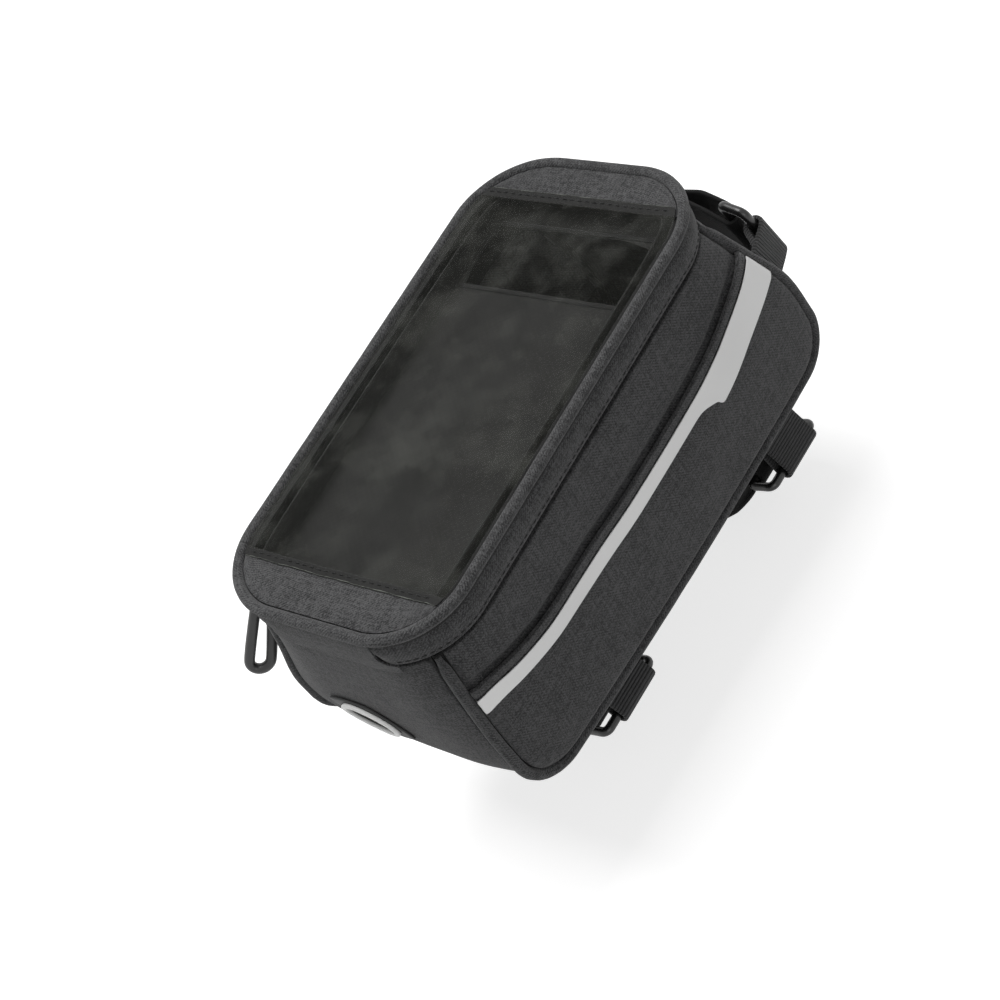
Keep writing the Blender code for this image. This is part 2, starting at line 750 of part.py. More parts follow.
def end_place(wall, x, z, offset):
    """Point on the rear or front wall at a place across and up, moved out by offset."""
    u = 0.5 + 0.5 * x / LOWER_HALF_WIDTH_REAR
    v = share_at_height(wall, u, lambda y: z, 0.0)
    for _ in range(6):
        u += 0.5 * (x - wall.point(u, v).x) / LOWER_HALF_WIDTH_REAR
        v = share_at_height(wall, u, lambda y: z, 0.0)
    return wall.point(u, v, offset)


def port_loop(half_width, half_height, power, steps=20):
    """Tilted oval about the port's centre; a power above 2 fills the corners."""
    loop = []
    for k in range(steps):
        angle = 2 * math.pi * k / steps
        c, s = math.cos(angle), math.sin(angle)
        a = half_width * math.copysign(abs(c) ** (2 / power), c)
        b = half_height * math.copysign(abs(s) ** (2 / power), s)
        x = PORT_X + a * math.cos(PORT_TILT) - b * math.sin(PORT_TILT)
        z = PORT_Z + a * math.sin(PORT_TILT) + b * math.cos(PORT_TILT)
        loop.append((x, z))
    return loop


def ring_sheet(name, rear, outer, inner, offset, thickness, material, parent):
    """Flat ring on the rear wall between two loops."""
    rows = [[end_place(rear, x, z, offset) for x, z in loop + loop[:1]] for loop in (outer, inner)]
    count = len(outer)
    points = rows[0][:-1] + rows[1][:-1]
    faces = []
    for i in range(count):
        after = (i + 1) % count
        faces.append((i, after, count + after, count + i))
    item = add_object(name, points, faces, material, parent)
    thicken(item, thickness)
    shade_smooth(item)
    return item


def make_port(parent, paint, rear, rear_panel):
    """Rubber cable port: a pointed patch with a slot, edged with a raised oval ring."""
    hole = port_loop(PORT_HALF_WIDTH, PORT_HALF_HEIGHT, 2)
    center = end_place(rear, PORT_X, PORT_Z, 0.0)
    reach = 4 * WALL
    points = [(x, center.y - reach, z) for x, z in hole]
    points += [(x, center.y + reach, z) for x, z in hole]
    count = len(hole)
    faces = [tuple(range(count)), tuple(range(count, 2 * count))]
    for i in range(count):
        after = (i + 1) % count
        faces.append((i, after, count + after, count + i))
    cutter = add_object("port_cutter", points, faces, paint["rubber"], parent)
    cut(rear_panel, cutter)

    patch_offset = WALL / 2 + GAP + PORT_PATCH_THICKNESS / 2
    outer = port_loop(PORT_PATCH_HALF_WIDTH, PORT_PATCH_HALF_HEIGHT, 1.35)
    slot = port_loop(PORT_SLOT_HALF_WIDTH, PORT_SLOT_HALF_HEIGHT, 2)
    ring_sheet("cable_port_patch", rear, outer, slot, patch_offset, PORT_PATCH_THICKNESS,
               paint["rubber"], parent)
    ring_offset = patch_offset + PORT_PATCH_THICKNESS / 2 + GAP + PORT_RING_HEIGHT / 2
    outer = port_loop(PORT_HALF_WIDTH, PORT_HALF_HEIGHT, 2)
    inner = port_loop(PORT_HALF_WIDTH - PORT_RING_WIDTH, PORT_HALF_HEIGHT - PORT_RING_WIDTH, 2)
    ring_sheet("cable_port_ring", rear, outer, inner, ring_offset, PORT_RING_HEIGHT,
               paint["ring"], parent)


def webbing(name, path, place, width, thickness, material, parent):
    """Flat band along a path of (u, v) points, with its width along w."""
    points = []
    for i, p in enumerate(path):
        before = path[max(i - 1, 0)]
        after = path[min(i + 1, len(path) - 1)]
        tangent = Vector((after[0] - before[0], after[1] - before[1])).normalized()
        side = Vector((-tangent.y, tangent.x)) * thickness / 2
        for across, w in ((1, -1), (1, 1), (-1, 1), (-1, -1)):
            points.append(place(p[0] + side.x * across, p[1] + side.y * across, w * width / 2))
    last = 4 * (len(path) - 1)
    faces = [(0, 1, 2, 3), (last, last + 1, last + 2, last + 3)]
    for i in range(len(path) - 1):
        for k in range(4):
            after = (k + 1) % 4
            low = 4 * i
            faces.append((low + k, low + after, low + 4 + after, low + 4 + k))
    item = add_object(name, points, faces, material, parent)
    shade_smooth(item)
    return item


def fillet_path(corners, steps=4):
    """Polyline through (u, v, radius) corners, each rounded by its radius."""
    spots = [Vector((u, v)) for u, v, _ in corners]
    path = [spots[0]]
    for i in range(1, len(spots) - 1):
        radius = corners[i][2]
        back = (spots[i - 1] - spots[i]).normalized()
        ahead = (spots[i + 1] - spots[i]).normalized()
        half = back.angle(ahead) / 2
        if radius == 0 or half > math.radians(89):
            path.append(spots[i])
            continue
        center = spots[i] + (back + ahead).normalized() * radius / math.sin(half)
        first = spots[i] + back * radius / math.tan(half) - center
        last = spots[i] + ahead * radius / math.tan(half) - center
        sweep = math.degrees(math.atan2(first.x * last.y - first.y * last.x, first.dot(last)))
        begin = math.degrees(math.atan2(first.y, first.x))
        path += [Vector(p) for p in arc(center, radius, begin, begin + sweep, steps)]
    path.append(spots[-1])
    return [(p.x, p.y) for p in path]


def wrap_points(bar, reach, start, end, steps=10):
    """Corners with no rounding that follow a webbing fold round a bar."""
    return [(u, v, 0.0) for u, v in arc(bar, reach, start, end, steps)]


def make_strap(label, place, roots, bars, bottom, parent, paint):
    """Closed webbing loop: an anchor tab, a ring buckle and the strap that runs through it.

    place(u, v, w) gives u across the bag, v away from the wall and w along the strap width.
    """
    reach = RING_BAR_RADIUS + GAP + STRAP_THICKNESS / 2 + WRAP_EASE
    layer = STRAP_THICKNESS + GAP
    anchor_root, strap_root = roots
    outer_bar, inner_bar = bars

    lift = math.degrees(math.atan2(outer_bar[1] - anchor_root[-1][1],
                                   outer_bar[0] - anchor_root[-1][0]))
    start = anchor_root[-1]
    inner_end = (start[0] - 0.3 * layer, start[1] + layer, 0.0)
    tab = anchor_root + wrap_points(outer_bar, reach, lift + TAB_WRAP[0], lift + TAB_WRAP[1]) + [inner_end]
    webbing("anchor_tab_" + label, fillet_path(tab), place, STRAP_WIDTH, STRAP_THICKNESS,
            paint["webbing"], parent)

    low_left, low_middle = bottom
    depth = inner_bar[1]
    run = strap_root + [low_left, low_middle] + wrap_points(inner_bar, reach, *STRAP_WRAP)
    tail_u = inner_bar[0] - STRAP_TAIL
    tail_share = STRAP_TAIL / (inner_bar[0] - low_middle[0])
    tail_v = inner_bar[1] + (low_middle[1] - inner_bar[1]) * tail_share + layer
    run.append((inner_bar[0] - 0.5 * STRAP_TAIL, tail_v - 0.2 * layer, 0.0))
    run.append((tail_u, tail_v + 0.4, 0.0))

    def sagging(u, v, w):
        span = inner_bar[0] - low_left[0]
        share = min(max((inner_bar[0] - u) / span, 0.0), 1.0)
        deep = min(max(v / depth - 0.5, 0.0), 0.5) * 2
        sag = math.sin(math.pi * share) ** 0.7 * deep
        turn = STRAP_TWIST * sag
        return place(u, v + w * math.sin(turn), w * math.cos(turn) - STRAP_SKEW * sag)

    webbing("strap_" + label, fillet_path(run), sagging, STRAP_WIDTH, STRAP_THICKNESS,
            paint["webbing"], parent)

    middle = ((outer_bar[0] + inner_bar[0]) / 2, (outer_bar[1] + inner_bar[1]) / 2)
    toward = Vector((inner_bar[0] - outer_bar[0], inner_bar[1] - outer_bar[1]))
    half_gap = toward.length / 2
    toward.normalize()
    half_length = RING_LENGTH / 2 - RING_BAR_RADIUS
    ring = []
    for cx, cy, start in ((1, 1, 0), (-1, 1, 90), (-1, -1, 180), (1, -1, 270)):
        center = (cx * (half_gap - RING_CORNER), cy * (half_length - RING_CORNER))
        ring += arc(center, RING_CORNER, start, start + 90, 3)
    path = []
    for a, w in ring:
        path.append(Vector(place(middle[0] + toward.x * a, middle[1] + toward.y * a,
                                 w - RING_OFFSET)))
    level = Vector(place(0, 0, 0))
    flat = (Vector(place(1, 0, 0)) - level) * -toward.y
    flat += (Vector(place(0, 1, 0)) - level) * toward.x
    tube("ring_buckle_" + label, path, [RING_BAR_RADIUS] * len(path), paint["plastic"], parent,
         closed=True, up=[flat] * len(path))


def make_straps(parent, paint):
    lean = math.tan(BASE_PITCH)
    sewn = GAP + STRAP_THICKNESS / 2

    def below(y_center):
        surface = base_line(y_center) + BODY_INSET - WALL / 2

        def place(u, v, w):
            return (u, y_center + w, surface - w * lean - v)
        return place

    ring_drop = RING_SPACING * math.tan(RING_TILT)
    for label, y_center, depth in (("front", STRAP_FRONT_Y, STRAP_FRONT_DEPTH),
                                   ("rear", STRAP_REAR_Y, STRAP_REAR_DEPTH)):
        fold_u = STRAP_HALF_SPAN - RING_BAR_RADIUS - GAP - STRAP_THICKNESS
        bars = ((fold_u, depth), (fold_u - RING_SPACING, depth + ring_drop))
        roots = ([(SEWN_END + SEWN_BREAK, sewn, 0.0), (SEWN_TURN, sewn, SEWN_ROUND)],
                 [(SEWN_END, sewn, 0.0), (-SEWN_TURN, sewn, SEWN_ROUND)])
        bottom = ((-STRAP_HALF_SPAN, depth + STRAP_LEFT_RISE, STRAP_LEFT_ROUND),
                  (0.0, depth + STRAP_SAG, STRAP_MIDDLE_ROUND))
        make_strap(label, below(y_center), roots, bars, bottom, parent, paint)

    front = end_panel_surface(True)
    v = share_at_height(front, 0.5, lambda y: -HEAD_STRAP_DROP, 0.0)
    share = 0.5 * STRAP_WIDTH / path_length(front.left)
    above, under = front.point(0.5, v - share), front.point(0.5, v + share)
    run = (under - above).normalized()
    out = Vector((0, -run.z, run.y))
    center = front.point(0.5, v) + out * WALL / 2

    def wall_depth(w):
        spot = end_place(front, HEAD_ROOT_U, (center + run * w).z, WALL / 2)
        return (spot - center).dot(out)

    upper, lower = wall_depth(-STRAP_WIDTH / 2), wall_depth(STRAP_WIDTH / 2)

    def ahead(u, v, w):
        wall = upper + (lower - upper) * (w / STRAP_WIDTH + 0.5)
        near = max(0.0, 1.0 - v / HEAD_ROOT_FADE)
        return center + Vector((u, 0, 0)) + out * (v + wall * near) + run * w

    fold_u = HEAD_STRAP_HALF_SPAN - RING_BAR_RADIUS - GAP - STRAP_THICKNESS
    bars = ((fold_u, HEAD_STRAP_DEPTH), (fold_u - RING_SPACING, HEAD_STRAP_DEPTH + ring_drop))
    roots = ([(HEAD_ROOT_U, HEAD_ROOT_V, 0.0)],
             [(-HEAD_ROOT_U, HEAD_ROOT_V, 0.0)])
    bottom = ((-HEAD_STRAP_HALF_SPAN, HEAD_STRAP_DEPTH + STRAP_LEFT_RISE, HEAD_STRAP_ROUND),
              (0.0, HEAD_STRAP_DEPTH + HEAD_STRAP_SAG, STRAP_MIDDLE_ROUND))
    make_strap("head", ahead, roots, bars, bottom, parent, paint)


def make_seat(parent, paint):
    """Webbing strip under the base, between the two straps, that sits on the tube."""
    half_strap = STRAP_WIDTH / 2 + SEAT_STRAP_CLEARANCE
    rear_y = STRAP_REAR_Y + half_strap
    front_y = STRAP_FRONT_Y - half_strap
    rows = []
    for y in (rear_y, front_y):
        z = base_line(y) + BODY_INSET - WALL / 2 - GAP - SEAT_THICKNESS / 2
        rows.append([Vector((x, y, z)) for x in (-SEAT_WIDTH / 2, 0, SEAT_WIDTH / 2)])
    grid_sheet("base_webbing", rows, paint["webbing"], parent, SEAT_THICKNESS)


def seat_center():
    """Middle of the seat strip's lower face, which is the bag's origin."""
    y = (STRAP_REAR_Y + STRAP_FRONT_Y) / 2
    drop = GAP + SEAT_THICKNESS + WALL / 2 - BODY_INSET
    return Vector((0, y, base_line(y) - drop))


def make_slider(parent, paint):
    """Slider: plates each side of the coils, a blade between them, and a pivot lug outside."""
    middle = LID_HALF_WIDTH - ZIP_INSET
    coil_face = COIL_THICKNESS / 2 + GAP
    outer_in, outer_out = middle + coil_face, middle + coil_face + SLIDER_PLATE
    inner_out, inner_in = middle - coil_face, middle - coil_face - SLIDER_PLATE
    bottom = RIM_Z + GAP
    neck_top = FLAP_BOTTOM - GAP
    blade_top, blade_low = ZIP_LINE + SLIDER_BLADE / 2, ZIP_LINE - SLIDER_BLADE / 2
    flap_face = LID_HALF_WIDTH + FLAP_OFFSET + FLAP_THICKNESS / 2
    lug_in = flap_face + GAP
    lug_out = lug_in + LUG_THICKNESS
    lug_mid = (bottom + neck_top) / 2
    section = [(-inner_in, SLIDER_TOP), (-inner_in, bottom), (-inner_out, bottom),
               (-inner_out, blade_low), (-outer_in, blade_low), (-outer_in, bottom),
               (-lug_in, bottom), (-lug_in, lug_mid - LUG_HEIGHT / 2),
               (-lug_out, lug_mid - LUG_HEIGHT / 2), (-lug_out, lug_mid + LUG_HEIGHT / 2),
               (-lug_in, lug_mid + LUG_HEIGHT / 2), (-lug_in, neck_top), (-outer_out, neck_top),
               (-outer_out, SLIDER_TOP), (-outer_in, SLIDER_TOP), (-outer_in, blade_top),
               (-inner_out, blade_top), (-inner_out, SLIDER_TOP)]

    def place(u, v, w):
        return (u, SLIDER_Y + w, v)

    home = (-outer_out, SLIDER_Y, ZIP_LINE)
    slider = extruded_section("zip_slider", section, place, SLIDER_LENGTH, paint["metal"], parent,
                              home)
    eye_room = 2 * (PULLER_EYE_BAR + GAP)
    stem_end = lug_out + eye_room
    profile = [(-lug_out + 0.5, PIVOT_RADIUS), (-stem_end, PIVOT_RADIUS),
               (-stem_end, PIVOT_HEAD_RADIUS), (-stem_end - PIVOT_HEAD_THICKNESS, PIVOT_HEAD_RADIUS)]
    pivot_y = SLIDER_Y - PIVOT_SETBACK
    pivot = turned_pin("pivot_pin_cutter", profile, pivot_y, lug_mid, paint["metal"], parent)
    cut(slider, pivot, "UNION")
    return Vector((-(lug_out + eye_room / 2), pivot_y, lug_mid))


def turned_pin(name, profile, y, z, material, parent, sides=16):
    """Solid turned about a line along X through y and z."""
    points = []
    for x, radius in profile:
        for k in range(sides):
            angle = 2 * math.pi * k / sides
            points.append((x, y + radius * math.cos(angle), z + radius * math.sin(angle)))
    faces = [tuple(range(sides)), tuple(range(len(points) - sides, len(points)))]
    for j in range(len(profile) - 1):
        for k in range(sides):
            after = (k + 1) % sides
            low, high = j * sides, (j + 1) * sides
            faces.append((low + k, low + after, high + after, high + k))
    return add_object(name, points, faces, material, parent)


def make_puller(pivot, parent, paint):
    """Soft closed loop that hangs on the slider's pivot and twists towards its end."""
    hang = Vector((0, -math.sin(PULLER_HANG), -math.cos(PULLER_HANG)))
    flat = Vector((0, math.cos(PULLER_HANG), -math.sin(PULLER_HANG)))
    eye = PIVOT_RADIUS + GAP + PULLER_EYE_BAR
    end = PULLER_LENGTH - PULLER_LOOP_BAR
    plan = arc((0, 0), eye, -180, 0, 6)
    straight = 7
    for k in range(1, straight):
        t = k / straight
        width = eye + (PULLER_HALF_WIDTH - eye) * t
        plan.append((width, (end - PULLER_HALF_WIDTH) * t))
    plan += [(a, end - PULLER_HALF_WIDTH + b) for a, b in arc((0, 0), PULLER_HALF_WIDTH, 0, 180, 8)]
    for k in range(straight - 1, 0, -1):
        t = k / straight
        width = eye + (PULLER_HALF_WIDTH - eye) * t
        plan.append((-width, (end - PULLER_HALF_WIDTH) * t))
    path, radii, up = [], [], []
    for across, down in plan:
        share = min(max(down / end, 0.0), 1.0)
        twist = PULLER_TWIST * max(0.0, (share - 0.25) / 0.75)
        width = flat * math.cos(twist) + Vector((1, 0, 0)) * math.sin(twist)
        lean = Vector((-PULLER_LEAN * share, 0, 0))
        path.append(pivot + hang * down + width * across + lean)
        radii.append(PULLER_EYE_BAR + (PULLER_LOOP_BAR - PULLER_EYE_BAR) * min(1.0, 2 * share))
        up.append(width.cross(hang))
    tube("zip_puller", path, radii, paint["puller"], parent, closed=True, location=pivot, up=up)


def main():
    clear_scene()
    paint = {
        "cloth": make_material("charcoal cloth", (0.045, 0.045, 0.047), 0.9),
        "piping": make_material("piping cloth", (0.055, 0.055, 0.057), 0.85),
        "film": make_material("clear film", (0.75, 0.76, 0.72), 0.12, alpha=0.35),
        "lining": make_material("lining cloth", (0.02, 0.02, 0.018), 0.8),
        "tape": make_material("zip tape", (0.02, 0.02, 0.02), 0.8),
        "coil": make_material("zip coil", (0.03, 0.03, 0.03), 0.45),
        "strip": make_material("reflective strip", (0.52, 0.53, 0.53), 0.45, metallic=0.2),
        "webbing": make_material("webbing", (0.018, 0.018, 0.018), 0.7),
        "plastic": make_material("buckle plastic", (0.012, 0.012, 0.012), 0.3),
        "rubber": make_material("port rubber", (0.02, 0.02, 0.02), 0.6),
        "ring": make_material("port ring", (0.8, 0.8, 0.8), 0.5),
        "board": make_material("base board", (0.03, 0.03, 0.03), 0.6),
        "metal": make_material("slider metal", (0.05, 0.05, 0.05), 0.35, metallic=0.8),
        "puller": make_material("puller rubber", (0.02, 0.02, 0.02), 0.5),
    }

    # Level the base: the lid then slopes up a little towards the front.
    bag = bpy.data.objects.new("bag_frame", None)
    bpy.context.collection.objects.link(bag)
    level = Matrix.Rotation(BASE_PITCH, 4, "X")
    bag.matrix_world = level @ Matrix.Translation(-seat_center() * MM)

    # Lid pieces hang on an empty on the hinge line, at the middle of the slit.
    hinge_y = -LID_HALF_LENGTH - FLAP_OFFSET - FLAP_THICKNESS / 2
    hinge_z = (FLAP_BOTTOM + RIM_Z) / 2
    lid = bpy.data.objects.new("lid_hinge", None)
    bpy.context.collection.objects.link(lid)
    lid.parent = bag
    lid.location = Vector((0, hinge_y, hinge_z)) * MM
    lid_zero = bpy.data.objects.new("lid_zero", None)
    bpy.context.collection.objects.link(lid_zero)
    lid_zero.parent = lid
    lid_zero.location = -lid.location

    make_lid(lid_zero, paint)
    make_body(bag, paint)
    make_pockets(bag, paint)
    make_straps(bag, paint)
    make_seat(bag, paint)
    pivot = make_slider(bag, paint)
    make_puller(pivot, bag, paint)


main()
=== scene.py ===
# Looks for the bicycle top tube bag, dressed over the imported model.
# Shapes are worked out in millimetres from the lid's seam plane, then placed on the model.
import math
import random

import bmesh
import bpy
import numpy as np
from mathutils import Matrix, Vector, noise


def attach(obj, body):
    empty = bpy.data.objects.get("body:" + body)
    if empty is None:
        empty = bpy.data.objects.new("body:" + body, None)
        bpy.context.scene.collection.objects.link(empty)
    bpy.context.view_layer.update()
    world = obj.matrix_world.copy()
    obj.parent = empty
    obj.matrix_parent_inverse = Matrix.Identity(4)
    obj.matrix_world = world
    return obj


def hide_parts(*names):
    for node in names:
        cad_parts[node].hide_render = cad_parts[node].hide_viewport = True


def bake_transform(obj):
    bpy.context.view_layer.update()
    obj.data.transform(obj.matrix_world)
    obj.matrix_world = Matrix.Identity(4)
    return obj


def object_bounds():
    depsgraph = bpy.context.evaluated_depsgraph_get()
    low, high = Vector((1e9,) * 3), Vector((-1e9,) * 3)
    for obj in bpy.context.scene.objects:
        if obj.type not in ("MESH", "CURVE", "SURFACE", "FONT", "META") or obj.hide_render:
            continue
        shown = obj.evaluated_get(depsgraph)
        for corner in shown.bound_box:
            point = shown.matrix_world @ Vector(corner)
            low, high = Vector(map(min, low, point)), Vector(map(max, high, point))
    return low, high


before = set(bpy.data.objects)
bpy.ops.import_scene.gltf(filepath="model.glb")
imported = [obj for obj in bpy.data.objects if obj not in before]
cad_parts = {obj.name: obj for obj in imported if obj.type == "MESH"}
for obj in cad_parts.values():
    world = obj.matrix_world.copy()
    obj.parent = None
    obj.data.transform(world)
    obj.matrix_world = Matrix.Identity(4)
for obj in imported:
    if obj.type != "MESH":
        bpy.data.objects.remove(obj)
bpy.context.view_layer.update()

MM = 0.001
SHARP_ANGLE = math.radians(50)
BASE_PITCH = math.radians(2.5)
SEAT_CENTER = Vector((0.0, 20.2, -90.182))
BAG = Matrix.Rotation(BASE_PITCH, 4, "X") @ Matrix.Translation(-SEAT_CENTER * MM)

# The seam lines of the lid and the body.
HALF_WIDTH = 44.0
HALF_LENGTH = 91.5
REAR_CORNER = 25.5
FRONT_CORNER = 27.5
HINGE_HALF = 22.0
FLAP_TOP = -3.3
FLAP_BOTTOM = -13.5
FLAP_TURN = 5.0
RIM_Z = -15.0
FILM_REAR_Y = -75.5
FILM_FRONT_Y = 77.5
BASE_DROP = 87.2
REAR_FACE_Y = -89.6
FRONT_FACE_Y = 100.0
REAR_BEND = 19.0
FRONT_BEND = 14.0
REAR_HALF_WIDTH = 42.8
FRONT_HALF_WIDTH = 44.8
BELLY = 2.2
BODY_MIDDLE = Vector((0.0, 5.0, -48.0))

# Upper edge of the reflective strip along the side, its step, and the pocket's mouth above it.
STRIP_Y = (-88.0, -79.5, -71.5, -62.7, -54.0, -39.0, -23.0, -7.0, 9.0, 25.0, 40.5, 55.5, 69.0,
           76.0, 92.0)
STRIP_Z = (-35.6, -34.9, -37.0, -39.0, -40.7, -41.0, -42.1, -43.8, -43.6, -43.2, -42.8, -40.9,
           -37.3, -35.9, -33.6)
STRIP_STEP_Y = 44.2
POCKET_MOUTH_RISE = 0.9 + 2.6 + 0.4

# Cloth, cord and thread.
LID_CLOTH_Z = -0.72
LID_CLOTH_THICKNESS = 0.75
FILM_Z = 0.22
FILM_THICKNESS = 0.3
CORD_INSET = 2.35
CORD_RADIUS = 1.98
CORD_SIDES = 14
SEAM_RADIUS = 1.9
SEAM_INSET = 2.1
RUN_SPACING = 1.5
CORD_SPACING = 1.6
SEAM_SPACING = 2.5
ZIP_INSET = 3.4
TOOTH_PITCH = 1.1

# Webbing and its rings.
WEB_WIDTH = 20.0
WEB_THICKNESS = 1.45
WEB_HALF = 0.75
WEB_LAYER = 1.8
BAR_RADIUS = 1.7
BAR_GAP = 0.3
RING_LENGTH = 33.0
RING_CORNER = 2.2
RING_WIRE = 1.68
RING_PITCH = 10.0
LOOP_HALF_SPAN = 35.5
HEAD_HALF_SPAN = 38.5
BASE_FACE = 1.0 - 1.2
FRONT_STRAP_Y = 76.0
REAR_STRAP_Y = -35.6
HEAD_CENTER = Vector((0.0, 100.6279, -50.2456))
HEAD_ALONG = Vector((0.0, 0.2120, -0.9773))
HEAD_OUT = Vector((0.0, 0.9773, 0.2120))
HEAD_WALL = (-4.8589, -2.7538)

# The camera as it was fitted, and the lamps: place, target, size, power.
CAMERA_TURN = Vector((2.4295, 0.4949, -0.7936))
CAMERA_MOVE = Vector((-11.68, -36.08, 699.88))
SENSOR = 36.0
FOCAL_IN_WIDTHS = 2.2617
LAMPS = {"key": ((-0.35, 0.05, 1.35), (0, 0, 0.05), (1.0, 0.9), 18.5),
         "fill": ((1.2, -0.7, 0.6), (0, 0, 0.04), (0.9, 0.9), 3.6)}
WHITE_LIGHT = (1.0, 1.0, 1.0, 1.0)
ROOM_LIGHT = 0.23


# Shader wiring.

class Graph:
    """Short way to wire the nodes of a material or of the world."""

    def __init__(self, owner, shader="Principled BSDF"):
        owner.use_nodes = True
        self.owner = owner
        self.tree = owner.node_tree
        self.shader = self.tree.nodes[shader]

    def feed(self, socket, value):
        if isinstance(value, bpy.types.NodeSocket):
            self.tree.links.new(value, socket)
        else:
            socket.default_value = value

    def node(self, kind, feeds=(), **settings):
        """New node with these settings, its inputs fed in order or by name."""
        made = self.tree.nodes.new(kind)
        for key, value in settings.items():
            setattr(made, key, value)
        for key, value in feeds.items() if isinstance(feeds, dict) else enumerate(feeds):
            self.feed(made.inputs[key], value)
        return made

    def math(self, operation, *values):
        return self.node("ShaderNodeMath", values, operation=operation).outputs[0]

    def times(self, first, second):
        return self.math("MULTIPLY", first, second)

    def plus(self, first, second):
        return self.math("ADD", first, second)

    def cells(self, value, size):
        return self.math("FLOOR", self.math("DIVIDE", value, size))

    def ripple(self, value, rate):
        return self.math("SINE", self.times(value, rate))

    def uv(self):
        return self.node("ShaderNodeUVMap", uv_map="flat").outputs[0]

    def place(self):
        return self.node("ShaderNodeTexCoord").outputs["Object"]

    def split(self, vector):
        return self.node("ShaderNodeSeparateXYZ", (vector,)).outputs

    def join(self, x, y):
        return self.node("ShaderNodeCombineXYZ", (x, y)).outputs[0]

    def noise(self, vector, scale, detail=2.0, roughness=0.5):
        feeds = {"Vector": vector, "Scale": scale, "Detail": detail, "Roughness": roughness}
        return self.node("ShaderNodeTexNoise", feeds).outputs["Fac"]

    def cell(self, vector):
        feeds = {"Vector": vector}
        return self.node("ShaderNodeTexWhiteNoise", feeds, noise_dimensions="2D").outputs["Value"]

    def span(self, value, low, high, new_low=0.0, new_high=1.0):
        return self.node("ShaderNodeMapRange", (value, low, high, new_low, new_high),
                         interpolation_type="SMOOTHSTEP").outputs[0]

    def mix(self, factor, first, second):
        made = self.node("ShaderNodeMix", {"Factor": factor}, data_type="RGBA")
        for key, value in (("A", first), ("B", second)):
            socket = next(s for s in made.inputs if s.name == key and s.type == "RGBA")
            self.feed(socket, (*value, 1.0) if isinstance(value, tuple) else value)
        return next(s for s in made.outputs if s.type == "RGBA")

    def bump(self, height, strength, distance, below=None):
        feeds = {"Height": height, "Strength": strength, "Distance": distance}
        if below is not None:
            feeds["Normal"] = below
        return self.node("ShaderNodeBump", feeds).outputs[0]

    def seen(self):
        """One for rays from the camera, a glossy face or a clear one, which all see white."""
        rays = self.node("ShaderNodeLightPath").outputs
        return self.math("MAXIMUM", rays["Is Camera Ray"],
                         self.math("MAXIMUM", rays["Is Glossy Ray"], rays["Is Transmission Ray"]))

    def set(self, **values):
        for key, value in values.items():
            self.feed(self.shader.inputs[key.replace("_", " ")], value)


def paint(name):
    return Graph(bpy.data.materials.new(name))


def twill(name, dark, light, pitch=0.31):
    """Melange twill cloth: floating threads on a diagonal, each thread its own tone."""
    g = paint(name)
    u, v = (g.math("DIVIDE", value, pitch) for value in g.split(g.uv())[:2])
    row, column = g.math("FLOOR", u), g.math("FLOOR", v)
    repeat, float_length = 4.0, 5.0
    diagonal = g.math("MODULO", g.plus(g.plus(row, column), 1000 * repeat), repeat)
    over = g.math("LESS_THAN", diagonal, 1.5)
    under = g.math("SUBTRACT", 1.0, over)
    warp, weft = (g.ripple(g.math("FRACT", value), math.pi) for value in (u, v))
    height = g.plus(g.times(over, warp), g.times(under, weft))
    warp_tone = g.cell(g.join(row, g.cells(v, float_length)))
    weft_tone = g.cell(g.join(g.cells(u, float_length), column))
    warp_tone = g.plus(g.times(warp_tone, 0.6), 0.3)
    weft_tone = g.plus(g.times(weft_tone, 0.6), 0.08)
    tone = g.plus(g.times(over, warp_tone), g.times(under, weft_tone))
    cloud = g.noise(g.place(), 38.0)
    tone = g.plus(tone, g.times(g.math("SUBTRACT", cloud, 0.5), 0.35))
    thin, slow = 0.42, 0.03
    upright = g.noise(g.join(g.times(u, thin), g.times(v, slow)), 1.0, 1.0)
    level = g.noise(g.join(g.times(u, slow), g.times(v, thin)), 1.0, 1.0)
    slub = g.math("SUBTRACT", g.plus(upright, level), 1.0)
    tone = g.plus(tone, g.times(slub, 0.55))
    # Painted shade: the tone is darkened to half at the edges of each thread and in the valleys
    # between threads, following the thread height.
    shade = g.times(g.span(tone, 0.0, 1.0), g.span(height, 0.0, 0.8, 0.5))
    g.set(Base_Color=g.mix(shade, dark, light), Roughness=0.9, Sheen_Weight=0.15,
          Sheen_Roughness=0.5, Specular_IOR_Level=0.25)
    g.set(Normal=g.bump(height, 0.4, 0.00012, g.bump(cloud, 0.2, 0.0004)))
    return g.owner


def webbing_cloth(name, dark, light):
    """Grosgrain webbing: round ribs across the band, with a fine warp over them."""
    g = paint(name)
    u, v, _ = g.split(g.uv())
    pitch, warp = 1.15, 0.5
    rib = g.math("ABSOLUTE", g.ripple(u, math.pi / pitch))
    fine = g.ripple(v, 2 * math.pi / warp)
    yarn = g.cell(g.join(g.cells(u, pitch), g.cells(v, warp)))
    height = g.plus(rib, g.times(fine, 0.12))
    # Painted shade: most of the tone follows the rib height, so the valleys between ribs are
    # darker; the yarn part is each yarn's own tone.
    tone = g.plus(g.times(rib, 0.75), g.times(yarn, 0.25))
    g.set(Base_Color=g.mix(g.span(tone, 0.1, 1.0), dark, light), Roughness=0.75,
          Sheen_Weight=0.12, Sheen_Roughness=0.4, Specular_IOR_Level=0.35,
          Normal=g.bump(height, 0.9, 0.0004))
    return g.owner


